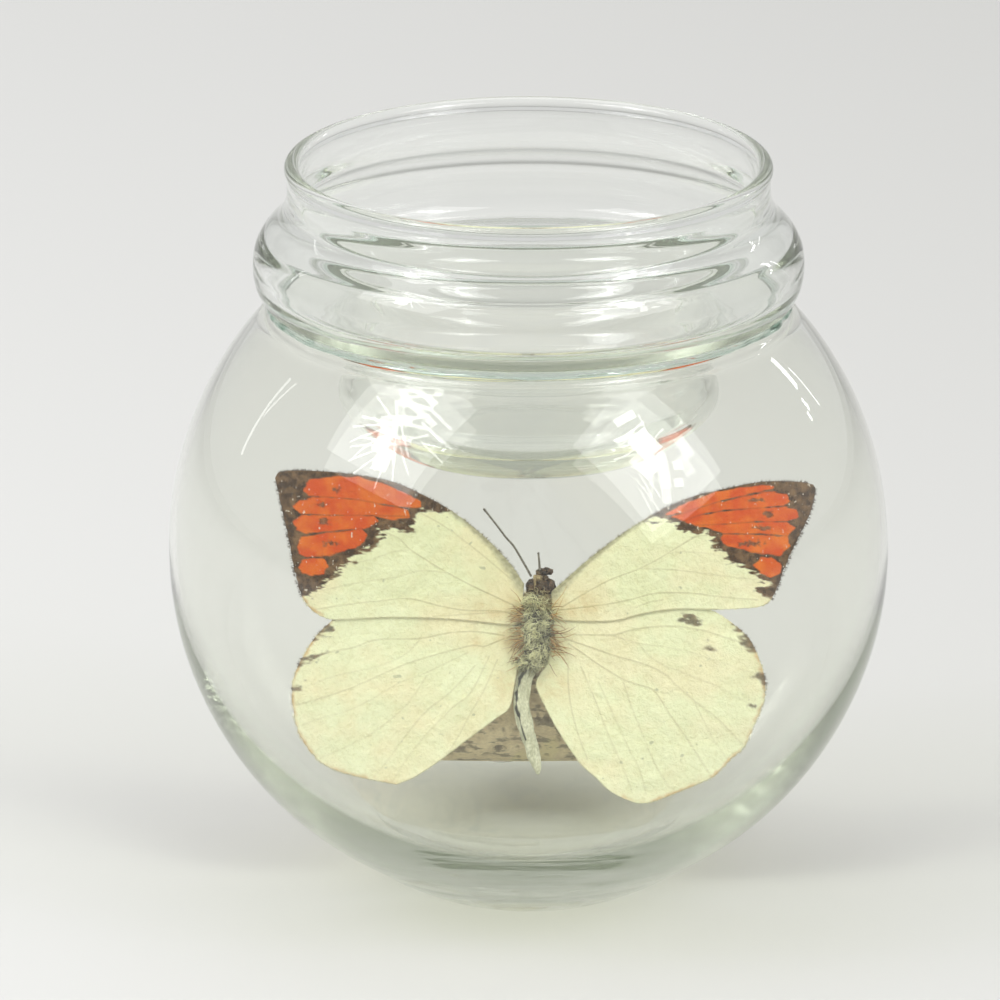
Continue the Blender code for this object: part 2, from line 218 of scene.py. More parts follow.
def leanBack(points):
    a = math.radians(insectPose["lean"])
    x, y, z = points[..., 0], points[..., 1], points[..., 2]
    turned = np.stack([x, y * math.cos(a) + z * math.sin(a), -y * math.sin(a) + z * math.cos(a)], -1)
    return turned + np.array(insectPose["origin"])


glassLift = {"reach": 40.0, "wider": (0.014, 0.0015), "lower": (0.045, 0.0027), "sides": 0.4}


# outlines are read in the picture plane; the wall thickens downwards and lifts what is seen
# through it, so they are laid wider and lower: each by a share of the depth t below the thorax
# plus a share of its square, the first times u = across / reach, the second times 1 + sides u^2
def behindGlass(across, high):
    t, u = np.maximum(-high, 0.0), across / glassLift["reach"]
    wider, lower = (a * t + b * t * t for a, b in (glassLift["wider"], glassLift["lower"]))
    return across + u * wider, high - lower * (1 + glassLift["sides"] * u**2)


# material on, body, and the node it stands for
def settle(piece, material, node):
    piece.data.materials.append(material)
    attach(piece, "root")
    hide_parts(node)


# sets a node's sockets: a number or a colour goes on the socket, another node's output is linked to it
def fillNode(made, values):
    for key, value in values.items():
        socket = made.inputs[key]
        if isinstance(value, bpy.types.NodeSocket):
            made.id_data.links.new(value, socket)
        else:
            socket.default_value = (*value, 1.0) if socket.type == "RGBA" else value
    return made


# a new node with its settings and its sockets set
def addNode(tree, kind, values=None, **settings):
    made = tree.nodes.new(kind)
    for key, value in settings.items():
        setattr(made, key, value)
    return fillNode(made, values or {})


# shared effect: mottling, a broad and a fine noise blended, as a value and a height
def mottleGroup():
    tree = bpy.data.node_groups.new("mottle", "ShaderNodeTree")
    tree.interface.new_socket("Vector", in_out="INPUT", socket_type="NodeSocketVector")
    for name in ("Broad Scale", "Fine Scale", "Fine Share"):
        tree.interface.new_socket(name, in_out="INPUT", socket_type="NodeSocketFloat")
    for name in ("Value", "Height"):
        tree.interface.new_socket(name, in_out="OUTPUT", socket_type="NodeSocketFloat")
    given = addNode(tree, "NodeGroupInput").outputs
    noises = []
    for scale in ("Broad Scale", "Fine Scale"):
        values = {"Vector": given["Vector"], "Scale": given[scale], "Detail": 3.0}
        noises.append(addNode(tree, "ShaderNodeTexNoise", values).outputs["Fac"])
    blend = addNode(tree, "ShaderNodeMix", {0: given["Fine Share"], 2: noises[0], 3: noises[1]})
    addNode(tree, "NodeGroupOutput", {"Value": blend.outputs[0], "Height": noises[1]})
    return tree


mottle = mottleGroup()


# a material with its node tree and short calls that fill it
class Shade:
    def __init__(self, name):
        self.material = bpy.data.materials.new(name)
        self.material.use_nodes = True
        self.tree = self.material.node_tree
        self.principled = self.tree.nodes["Principled BSDF"]
        self.output = self.tree.nodes["Material Output"]

    def node(self, kind, values=None, **settings):
        return addNode(self.tree, kind, values, **settings)

    # the object's own place, stretched along its axes and turned about Y
    def place(self, stretch=(1, 1, 1), turn=0.0):
        coords = self.node("ShaderNodeTexCoord").outputs["Object"]
        values = {"Vector": coords, "Rotation": (0, turn, 0), "Scale": stretch}
        return self.node("ShaderNodeMapping", values).outputs["Vector"]

    def noiseOf(self, vector, scale, detail=3.0, roughness=0.5, distortion=0.0):
        values = {"Scale": scale, "Detail": detail, "Roughness": roughness, "Distortion": distortion}
        return self.node("ShaderNodeTexNoise", {"Vector": vector, **values}).outputs["Fac"]

    # 0 below the low limit and 1 above the high one
    def ramp(self, value, low, high):
        values = {"Value": value, "From Min": low, "From Max": high}
        return self.node("ShaderNodeMapRange", values, clamp=True).outputs["Result"]

    # noise in the object's own place, ramped between two limits
    def patches(self, scale, low, high, detail=3.0, roughness=0.5, stretch=(1, 1, 1)):
        return self.ramp(self.noiseOf(self.place(stretch), scale, detail, roughness), low, high)

    def mottled(self, broad, fine, share, stretch=(1, 1, 1)):
        values = {"Broad Scale": broad, "Fine Scale": fine, "Fine Share": share}
        return self.node("ShaderNodeGroup", {"Vector": self.place(stretch), **values}, node_tree=mottle)

    # values kept on the mesh under a name
    def mask(self, name):
        return self.node("ShaderNodeAttribute", attribute_name=name).outputs["Fac"]

    def math(self, operation, a, b):
        return self.node("ShaderNodeMath", {0: a, 1: b}, operation=operation).outputs[0]

    def times(self, a, b):
        return self.math("MULTIPLY", a, b)

    def mix(self, share, a, b, blend="MIX"):
        values = {0: share, 6: a, 7: b}
        return self.node("ShaderNodeMix", values, data_type="RGBA", blend_type=blend).outputs[2]

    # colour laid over the tone where the mask is high
    def over(self, tone, mask, strength, colour):
        return self.mix(self.times(mask, strength), tone, colour)

    # tone multiplied by a colour where the mask is low
    def dull(self, tone, mask, colour):
        return self.mix(mask, self.mix(1.0, tone, colour, "MULTIPLY"), tone)

    def paint(self, tone, roughness, others=None):
        fillNode(self.principled, {"Base Color": tone, "Roughness": roughness, **(others or {})})

    def bump(self, height, strength, distance):
        made = self.node("ShaderNodeBump", {"Height": height, "Strength": strength, "Distance": distance})
        fillNode(self.principled, {"Normal": made.outputs["Normal"]})


# refracting clear body; shadow rays and light scattered by other pieces pass straight through
def clearMaterial(name, look, rings=None):
    s = Shade(name)
    if rings is not None:
        line = s.noiseOf(s.place(rings["stretch"]), rings["scale"], 2.0)
        height = s.node("ShaderNodeSeparateXYZ", {0: s.place()}).outputs["Z"]
        s.bump(s.times(line, s.ramp(height, rings["top"], rings["full"])), 1.0, rings["depth"])
    s.paint(look["tint"], look["roughness"], {"IOR": look["ior"], "Transmission Weight": 1.0})
    light = s.node("ShaderNodeLightPath").outputs
    straight = s.math("MAXIMUM", light["Is Shadow Ray"], light["Is Diffuse Ray"])
    clear = s.node("ShaderNodeBsdfTransparent", {"Color": look["shadowTint"]})
    mixed = s.node("ShaderNodeMixShader", {0: straight, 1: s.principled.outputs[0], 2: clear.outputs[0]})
    soak = s.node("ShaderNodeVolumeAbsorption", {"Color": look["absorb"], "Density": look["density"]})
    fillNode(s.output, {"Surface": mixed.outputs[0], "Volume": soak.outputs[0]})
    return s.material


glassLook = {
    "tint": (1.0, 1.0, 1.0), "roughness": 0.0, "ior": 1.5,
    "absorb": (0.58, 0.63, 0.50), "density": 13.0, "shadowTint": (0.942, 0.947, 0.918),
}
# faint rings left by turning run round the thick bottom of the ball, heights in metres
ringLook = {"stretch": (0.04, 0.04, 1.0), "scale": 1100.0, "top": 0.020, "full": 0.009, "depth": 0.00004}
ballGlass = clearMaterial("ballGlass", {**glassLook, "tint": (0.955, 0.962, 0.93)}, ringLook)
cupGlass = clearMaterial("cupGlass", {**glassLook, "tint": (0.985, 0.995, 0.983)})
clearSealant = clearMaterial("clearSealant", {
    "tint": (0.87, 0.925, 0.87), "roughness": 0.05, "ior": 1.45,
    "absorb": (0.52, 0.72, 0.62), "density": 80.0, "shadowTint": (0.88, 0.89, 0.85),
})
clearGlue = clearMaterial("clearGlue", {
    "tint": (0.96, 0.96, 0.92), "roughness": 0.12, "ior": 1.47,
    "absorb": (0.9, 0.88, 0.75), "density": 30.0, "shadowTint": (0.9, 0.9, 0.88),
})


ball = {
    "radius": 57.5, "heelRadius": 48.0, "heelDrop": 11.2, "footSoft": 0.5,
    "insideRadius": 56.3, "insideHeight": 54.3, "insideDepth": 53.0,
    "shoulderRadius": 43.0, "lipRadius": 41.8, "lipWall": 2.2, "lipTop": 39.9, "lipFoot": 38.7,
    "waver": 0.12, "swellSize": 6.5, "waverFrom": (40.0, 50.0), "calmFoot": 4.0,
    "arcSteps": 160, "insideSteps": 260, "fineSteps": 1600, "soften": 4, "turns": 192, "steps": 440,
}


# outside from the foot over the heel arc, the sphere and the lip, then down the inside, half an
# ellipse above and half of another below the middle; a running average rounds the corners.
# foot and heel blend by a soft maximum of their heights
def ballSection(b):
    foot = -ballMiddle
    join = (b["heelRadius"] ** 2 - b["radius"] ** 2 - b["heelDrop"] ** 2) / (2 * b["heelDrop"])
    out = np.linspace(0, math.sqrt(b["radius"] ** 2 - join**2), b["arcSteps"])
    above = -b["heelDrop"] - np.sqrt(b["heelRadius"] ** 2 - out**2) - foot
    heel = np.stack([out, foot + b["footSoft"] * np.log1p(np.exp(above / b["footSoft"]))], 1)
    start, end = math.asin(join / b["radius"]), math.acos(b["shoulderRadius"] / b["radius"])
    sphere = arcLine((0, 0), b["radius"], math.degrees(start), math.degrees(end), b["arcSteps"])
    half = b["lipWall"] / 2
    lip = arcLine((b["lipRadius"] - half, b["lipTop"] - half), half, 0, 180, 24)
    mouth = math.acos((b["lipRadius"] - b["lipWall"]) / b["insideRadius"])
    a = np.linspace(mouth, -math.pi / 2, b["insideSteps"])
    reach = np.where(a > 0, b["insideHeight"], b["insideDepth"])
    inside = np.stack([b["insideRadius"] * np.cos(a), reach * np.sin(a)], 1)
    line = np.vstack([heel, sphere[1:], [(b["lipRadius"], b["lipFoot"])], lip, inside])
    line = evenSteps(line, b["fineSteps"])
    ends = line[[0, -1]].copy()
    kernel = np.exp(-np.linspace(-2, 2, 2 * b["soften"] + 1) ** 2)
    kernel /= kernel.sum()
    pad = np.pad(line, ((b["soften"], b["soften"]), (0, 0)), "edge")
    line = evenSteps(np.stack([np.convolve(pad[:, k], kernel, "valid") for k in (0, 1)], 1), b["steps"])
    line[0], line[-1] = ends
    line[0, 0] = line[-1, 0] = 0.0
    return line


# smooth swell from 0 to 1: two products of sines, one for each way round and along the wall
def slowSwell(angle, radius, height, size):
    x, y = radius * np.cos(angle), radius * np.sin(angle)
    first = np.sin((0.8 * x - 0.5 * y) / size + 1.1) * np.sin((height + 0.3 * y) / size + 0.4)
    second = np.sin((0.6 * x + 0.7 * y) / size + 2.3) * np.cos((0.9 * height - 0.4 * x) / size + 1.9)
    return 0.5 + 0.25 * (first + second)


# slight unevenness of blown glass, only inwards: a slow swell round and along the wall that dies
# out at the foot, where the ball stands
def ballWaver(angle, radius, height):
    outer = rise(np.hypot(radius, height), *ball["waverFrom"])
    above = rise(np.abs(height + ballMiddle), 0.0, ball["calmFoot"])
    return ball["waver"] * outer * above * slowSwell(angle, radius, height, ball["swellSize"])


glassBall = turnedPiece("glassBall", ballSection(ball), ball["turns"], ballWaver)
settle(glassBall, ballGlass, "glass_ball")
print("glass ball done")


cup = {
    "underside": 17.0, "rimRadius": 37.7, "rimHeight": 62.6, "rimBead": 1.2,
    "outside": [(17.0, 17.0), (21.8, 18.2), (26.0, 20.9), (29.2, 24.0), (30.1, 26.4), (29.6, 28.9),
                (28.3, 32.6), (29.3, 36.0), (32.2, 38.8), (38.0, 41.1), (40.8, 41.2), (42.3, 41.7),
                (43.5, 44.0), (43.9, 47.0), (43.5, 49.8), (42.1, 52.4), (39.8, 54.9), (38.6, 57.6),
                (38.45, 60.4)],
    "inside": [(36.75, 60.6), (36.7, 57.6), (36.9, 55.9), (37.6, 54.9), (39.2, 53.2), (40.8, 51.8),
               (41.3, 51.2), (41.55, 50.3), (41.9, 48.6), (42.0, 47.0), (41.6, 44.7), (40.3, 43.3),
               (37.5, 42.9), (31.2, 40.4), (27.7, 37.0), (26.4, 32.5), (27.7, 28.4), (28.1, 26.5),
               (27.4, 24.6), (24.6, 22.4), (20.0, 21.5), (12.0, 21.4), (0.0, 21.4)],
    "waver": 0.1, "swellSize": 4.5, "waverFrom": (5.0, 20.0), "turns": 192, "steps": 470,
}


# underside, outside curve, rolled rim and inside curve as one line from axis to axis
def cupSection(c):
    bead = arcLine((c["rimRadius"], c["rimHeight"]), c["rimBead"], -40, 220, 30)
    outside = smoothLine([(0.0, c["underside"]), (10.0, c["underside"])] + c["outside"], 400)
    inside = smoothLine(c["inside"], 400)
    line = evenSteps(np.vstack([outside, bead, inside]), c["steps"])
    line[0, 0] = line[-1, 0] = 0.0
    return line


# pressed glass is a little uneven: a slow swell that dies out towards the axis
def cupWaver(angle, radius, height):
    outer = rise(radius, *cup["waverFrom"])
    return cup["waver"] * outer * slowSwell(angle, radius, height, cup["swellSize"])


candleCup = turnedPiece("candleCup", cupSection(cup), cup["turns"], cupWaver)
settle(candleCup, cupGlass, "candle_cup")
print("candle cup done")


sealant = {
    "low": 40.05, "high": 40.95, "inner": 39.4, "outer": 42.0, "square": 0.6,
    "wave": 0.35, "waveSize": 5.0, "lump": 0.15, "lumpSize": 3.0, "turns": 360, "around": 16,
}


# squarish oval section, its sine and cosine to a power under one, carried round; its outer edge
# and its thickness swell unevenly where it was squeezed out
def sealantRing(s):
    a = np.linspace(0, math.tau, s["turns"], endpoint=False)[:, None]
    b = np.linspace(0, math.tau, s["around"], endpoint=False)[None]
    rim = np.concatenate([np.cos(a), np.sin(a)], 1) * s["outer"]
    swell = s["wave"] * layeredNoise(rim, s["waveSize"], 3)[:, None]
    middle, half = (s["inner"] + s["outer"] + swell) / 2, (s["outer"] + swell - s["inner"]) / 2
    thick = (s["high"] - s["low"]) / 2 * (1 + s["lump"] * noise(rim, s["lumpSize"], 8)[:, None])
    radius = middle + half * np.sign(np.cos(b)) * np.abs(np.cos(b)) ** s["square"]
    height = (s["high"] + s["low"]) / 2 + thick * np.sign(np.sin(b)) * np.abs(np.sin(b)) ** s["square"]
    rings = np.stack([radius * np.cos(a), radius * np.sin(a), height + ballMiddle], -1)
    rows = np.vstack([rings, rings[:1]])
    quads = gridQuads(len(rows), s["around"]) % (s["turns"] * s["around"])
    return makePiece("sealantRing", rings.reshape(-1, 3), quads)


settle(sealantRing(sealant), clearSealant, "sealant_ring")
print("sealant done")


cork = {
    "radius": 12.0, "length": 32.0, "edge": 0.9, "centre": (-1.7, 19.8), "rest": 12.3,
    "turns": 220, "steps": 240, "pit": 0.45, "pitSize": 1.6, "swell": 0.12, "swellSize": 7.0,
    # darkest and palest grain, then what is laid over it
    "grain": ((0.62, 0.50, 0.33), (0.86, 0.73, 0.50)), "smooth": (0.78, 0.68, 0.40),
    "blotch": (0.22, 0.185, 0.14), "hollow": (0.20, 0.165, 0.12),
}


# log along X: half section from one end's middle over the side to the other's, carried round;
# pits are pressed in where a stretched noise is high
def corkLog(c):
    half, r, e = c["length"] / 2, c["radius"], c["edge"]
    left = arcLine((r - e, -half + e), e, -90, 0, 10)
    right = arcLine((r - e, half - e), e, 0, 90, 10)
    line = evenSteps(np.vstack([[(0.0, -half)], left, right, [(0.0, half)]]), c["steps"])
    a = np.linspace(0, math.tau, c["turns"], endpoint=False)[None]
    radius, along = line[1:-1, 0][:, None], line[1:-1, 1][:, None]
    p = np.stack(np.broadcast_arrays(along, radius * np.cos(a), radius * np.sin(a)), -1)
    pits = rise(layeredNoise(p * np.array([1.0, 0.8, 0.8]), c["pitSize"], 21), 0.42, 0.8)
    sunk = c["pit"] * pits + c["swell"] * (1 + noise(p, c["swellSize"], 4))
    inward = 1 - sunk / np.maximum(radius, 3.0)
    rings = p * np.stack([np.ones_like(inward), inward, inward], -1)
    ends = rise(np.abs(along), half - 0.3, half)
    rings[..., 0] -= np.sign(along) * ends * c["pit"] * pits
    shift = np.array([c["centre"][0], c["centre"][1], c["rest"] + r])
    piece = ringStack("corkBlock", rings + shift, shift - [half, 0, 0], shift + [half, 0, 0])
    keepMask(piece, "pit", np.concatenate([pits.ravel(), [0, 0]]))
    return piece


# tan grain with yellowish smooth patches; round grey-brown spots, stretched along the log
def corkMaterial(c):
    s = Shade("naturalCork")
    grain = s.mottled(260.0, 1500.0, 0.45, (1.0, 1.0, 1.5))
    tone = s.mix(s.ramp(grain.outputs["Value"], 0.36, 0.62), *c["grain"])
    tone = s.over(tone, s.patches(110.0, 0.55, 0.6, 2.0, stretch=(1.0, 0.6, 0.4)), 0.7, c["smooth"])
    tone = s.over(tone, s.patches(420.0, 0.53, 0.59, 3.0, 0.6, (0.6, 1.0, 1.3)), 0.72, c["blotch"])
    tone = s.over(tone, s.mask("pit"), 0.6, c["hollow"])
    s.paint(tone, 0.88)
    s.bump(grain.outputs["Height"], 0.5, 0.0003)
    return s.material


settle(corkLog(cork), corkMaterial(cork), "cork_block")

gluePad = {"centre": (-5.0, 26.2), "size": (6.6, 2.1), "skin": 0.4, "turns": 72, "steps": 14}


# height of the bowl's inside below a point
def bowlHeight(x, y):
    reach = 1 - (x * x + y * y) / ball["insideRadius"] ** 2
    return ballMiddle - ball["insideDepth"] * np.sqrt(reach)


# clear filling between the bowl and the cork's round underside, from the middle of its lower
# face out to the rim and back over its upper face; the rim is uneven and drawn in
def glueFill(g):
    a = np.linspace(0, math.tau, g["turns"], endpoint=False)[None]
    s = np.linspace(0, 1, g["steps"] + 1)[1:, None]
    rim = np.concatenate([np.cos(a).T, np.sin(a).T], 1)
    spread = s * (1 + 0.12 * noise(rim, 0.6, 2))[None]
    x, y = (g["centre"][k] + spread * g["size"][k] * part for k, part in ((0, np.cos(a)), (1, np.sin(a))))
    low = bowlHeight(x, y) + g["skin"]
    over = y - cork["centre"][1]
    high = cork["rest"] + cork["radius"] - np.sqrt(cork["radius"] ** 2 - over * over) - g["skin"]
    pinch = (high - low) * 0.25 * s**6
    rings = np.concatenate([np.stack([x, y, low], -1), np.stack([x, y, high - pinch], -1)[::-1]])
    first, last = rings[0].mean(0), rings[-1].mean(0)
    return ringStack("gluePad", rings, first, last)


settle(glueFill(gluePad), clearGlue, "glue_pad")
print("cork and glue done")


# how the wing sheets lie: forward rise outwards, a slight bow, buckles and raised veins (mm)
wingForm = {
    "rise": 0.19, "root": 3.0, "depth": -1.0, "bow": 0.7, "span": 42.0, "forward": -0.2, "back": 0.15,
    "thick": 0.2, "buckle": 0.3, "buckleSize": 11.0, "wrinkle": 0.12, "wrinkleSize": 2.4, "stiff": 8.0,
    "veinHeight": 0.05, "veinWidth": 0.21, "veinWeak": 0.62, "veinReach": 36.0, "rag": 0.22,
    "columns": 260, "rows": 180,
}

forewingLeft = {
    "root": [(-2.6, 1.3), (-2.0, 7.9)],
    "front": [(-2.0, 7.9), (-4.2, 11.2), (-8.0, 15.4), (-13.0, 19.6), (-18.1, 22.6), (-23.1, 24.8),
              (-30.4, 26.1), (-37.2, 26.5), (-40.9, 26.2), (-41.8, 25.2)],
    "outer": [(-34.8, 2.4), (-36.4, 3.7), (-37.7, 5.6), (-38.9, 9.6), (-39.7, 14.4), (-40.9, 20.4),
              (-41.8, 25.2)],
    "hind": [(-2.6, 1.3), (-4.6, 1.0), (-13.3, 1.9), (-23.1, 2.2), (-31.9, 1.8), (-34.8, 2.4)],
    "veins": [
        [(-2.7, 3.8), (-6.3, 5.6), (-10.2, 7.5), (-14.4, 9.8), (-17.3, 11.6), (-20.4, 13.7), (-22.2, 15.5),
         (-26.1, 17.1)],
        [(-14.4, 9.8), (-18.6, 10.1), (-22.5, 9.0), (-27.2, 8.3), (-31.1, 7.5), (-37.0, 6.0)],
        [(-2.4, 2.6), (-4.4, 3.05), (-6.6, 3.4), (-11.5, 3.5), (-15.5, 4.2), (-20.4, 5.4), (-24.6, 5.1),
         (-31.1, 4.3), (-36.0, 3.4)],
        [(-20.7, 13.5), (-23.0, 13.2), (-26.6, 11.9), (-30.3, 11.1)],
        [(-2.7, 3.3), (-8.9, 3.0), (-16.7, 2.4)],
        [(-18.6, 20.5), (-20.7, 20.4), (-24.6, 21.0), (-28.7, 21.8), (-34.2, 22.2), (-37.0, 22.3)],
        [(-20.5, 19.1), (-25.9, 19.2), (-30.3, 19.2), (-34.2, 19.15), (-38.3, 19.4)],
        [(-27.9, 17.0), (-31.1, 16.7), (-34.2, 16.3), (-37.1, 15.9), (-38.8, 15.8)],
        [(-28.1, 13.6), (-31.1, 13.2), (-33.4, 12.5), (-37.5, 12.1)],
        [(-4.0, 8.6), (-9.5, 13.4), (-15.0, 17.6), (-20.5, 20.7)],
        [(-2.6, 1.4), (-4.6, 1.1), (-13.3, 2.0), (-23.1, 2.3), (-31.9, 1.9)],
    ],
    "strong": (0, 2, 10),
    "dark": [(-43.5, 25.7), (-42.0, 28.0), (-35.0, 28.5), (-24.6, 27.0), (-17.3, 24.0), (-12.9, 20.6),
             (-15.2, 19.5), (-17.1, 19.8), (-18.6, 19.7), (-19.2, 18.1), (-19.9, 17.0), (-22.5, 17.1),
             (-25.1, 16.8), (-24.8, 15.3), (-26.1, 14.0), (-28.2, 13.3), (-30.3, 12.4), (-29.0, 11.4),
             (-31.3, 10.1), (-33.2, 9.0), (-34.2, 7.5), (-36.3, 5.9), (-37.4, 5.1), (-40.5, 4.0),
             (-43.5, 15.0)],
    "cells": [
        [(-37.2, 23.2), (-36.3, 24.8), (-32.4, 25.5), (-28.2, 25.4), (-24.6, 24.4), (-21.2, 22.8),
         (-18.7, 21.5), (-18.6, 20.5), (-20.7, 20.6), (-24.6, 21.1), (-28.7, 21.9), (-34.2, 22.3),
         (-36.5, 22.4)],
        [(-38.8, 20.5), (-37.8, 21.5), (-34.2, 22.1), (-28.7, 21.7), (-24.6, 20.9), (-20.7, 20.2),
         (-20.5, 19.1), (-23.5, 18.7), (-25.9, 19.2), (-30.3, 19.3), (-34.2, 19.2), (-37.7, 19.6)],
        [(-38.8, 18.0), (-37.7, 19.1), (-34.2, 19.1), (-30.3, 19.1), (-26.1, 19.1), (-25.6, 18.3),
         (-26.6, 17.6), (-27.9, 17.1), (-31.1, 16.8), (-34.2, 16.4), (-37.1, 16.2), (-38.2, 16.8)],
        [(-38.3, 13.9), (-37.6, 15.4), (-34.2, 16.1), (-31.1, 16.5), (-28.1, 16.8), (-27.3, 16.1),
         (-27.6, 14.9), (-29.0, 14.0), (-31.1, 13.3), (-33.4, 12.6), (-36.7, 12.3), (-38.0, 12.9)],
        [(-38.0, 10.5), (-37.4, 11.6), (-35.8, 12.0), (-34.2, 11.7), (-33.6, 10.7), (-34.4, 9.6),
         (-36.0, 9.3), (-37.5, 9.6)],
    ],
    "spots": [(-31.9, 23.4, 0.8, 0.45), (-34.5, 20.8, 0.95, 0.5), (-33.9, 18.1, 0.8, 0.55),
              (-32.8, 14.6, 1.25, 0.45)],
    "costa": [(2.6, 2.3), (8.0, 1.1), (14.0, 0.8)],
    "stain": [(-3.0, 4.2, 3.6), (-8.5, 3.0, 2.2)],
    "warm": 0.7,
}

forewingRight = {
    "root": [(2.4, 2.3), (2.3, 6.6)],
    "front": [(2.3, 6.6), (5.3, 9.3), (7.2, 11.1), (10.1, 13.5), (13.9, 16.4), (17.5, 18.8), (21.0, 20.7),
              (24.8, 22.3), (28.4, 23.2), (35.8, 24.6), (41.8, 24.5), (44.1, 24.0)],
    "outer": [(35.3, 3.8), (37.0, 4.5), (38.2, 6.2), (39.3, 9.0), (41.0, 13.3), (42.1, 15.7), (43.7, 19.2),
              (44.5, 22.9), (44.1, 24.0)],
    "hind": [(2.4, 2.3), (4.0, 1.8), (9.0, 1.6), (12.9, 1.8), (16.8, 2.8), (22.3, 3.6), (29.0, 3.5),
             (35.3, 3.8)],
    "veins": [
        [(4.0, 4.0), (7.8, 6.4), (11.8, 8.6), (15.9, 10.2), (19.1, 11.8), (21.8, 13.5), (25.3, 15.6),
         (27.2, 15.9)],
        [(16.7, 10.4), (20.5, 10.3), (24.5, 9.9), (29.9, 9.1), (34.8, 8.5)],
        [(20.7, 12.9), (23.2, 13.2), (27.2, 12.9), (29.9, 12.4)],
        [(3.4, 3.5), (11.0, 4.5), (15.1, 5.3), (19.1, 6.3), (24.5, 6.3), (29.9, 5.6), (35.3, 5.1)],
        [(15.9, 4.0), (18.0, 4.8), (20.2, 5.2)],
        [(2.4, 2.4), (4.0, 1.9), (9.0, 1.7), (12.9, 1.9), (16.8, 2.9), (22.3, 3.7), (29.0, 3.6)],
        [(22.5, 19.3), (28.6, 21.25), (32.6, 22.2), (38.0, 23.2)],
        [(23.6, 18.2), (26.1, 19.25), (29.9, 19.95), (35.3, 20.3), (40.0, 20.6)],
        [(23.0, 17.5), (25.3, 17.6), (29.9, 17.7), (35.3, 18.05), (40.5, 18.0)],
        [(29.5, 16.1), (34.8, 16.0), (40.5, 15.6)],
        [(30.5, 14.0), (34.8, 13.0), (39.3, 12.3)],
        [(3.6, 7.2), (8.0, 11.2), (14.0, 15.9), (20.0, 19.6)],
    ],
    "strong": (0, 3, 5),
    "dark": [(16.9, 18.9), (20.2, 21.6), (24.5, 23.7), (28.6, 25.5), (35.3, 26.6), (43.4, 26.4),
             (47.0, 23.2), (46.0, 18.3), (43.4, 12.9), (41.8, 8.0), (39.3, 4.4), (37.2, 5.9), (35.1, 7.0),
             (37.5, 7.8), (35.6, 9.1), (33.4, 10.5), (31.0, 11.3), (30.5, 12.9), (27.2, 14.5), (27.8, 15.6),
             (26.4, 16.4), (23.4, 16.0), (21.8, 18.1), (20.5, 18.7), (17.2, 18.2)],
    "cells": [
        [(20.7, 19.4), (22.9, 20.8), (25.3, 21.8), (28.6, 22.9), (32.6, 23.7), (37.2, 23.9), (37.8, 23.7),
         (32.6, 22.4), (28.6, 21.5), (23.4, 19.7)],
        [(21.8, 19.0), (22.9, 19.5), (28.6, 21.2), (32.6, 22.1), (37.2, 23.0), (39.9, 22.4), (40.4, 21.3),
         (39.4, 20.7), (35.3, 20.4), (29.9, 20.1), (26.1, 19.4), (23.4, 18.3)],
        [(23.7, 18.3), (26.1, 19.1), (29.9, 19.8), (35.3, 20.2), (39.7, 20.4), (41.3, 19.7), (41.6, 18.8),
         (39.9, 18.2), (35.3, 18.2), (29.9, 17.8), (25.3, 17.7)],
        [(26.1, 17.4), (29.9, 17.6), (35.3, 17.9), (39.9, 17.8), (41.1, 16.9), (39.9, 15.7), (34.8, 16.2),
         (29.9, 16.3), (28.0, 17.0)],
        [(29.5, 15.2), (29.9, 15.9), (34.8, 15.8), (39.9, 15.5), (40.4, 14.0), (38.9, 12.5), (34.8, 13.1),
         (30.5, 14.1)],
        [(34.9, 10.8), (35.9, 11.9), (37.5, 12.1), (39.0, 11.2), (38.8, 9.7), (37.4, 8.9), (35.8, 9.6)],
    ],
    "spots": [(35.1, 21.6, 1.05, 0.4), (37.1, 19.3, 1.0, 0.45), (36.1, 17.0, 1.1, 0.35),
              (34.2, 14.4, 1.9, 0.5)],
    "costa": [(2.8, 2.2), (7.2, 1.1), (13.9, 0.6)],
    "stain": [(3.6, 4.2, 3.2), (8.0, 3.9, 2.4)],
    "warm": 0.35,
}

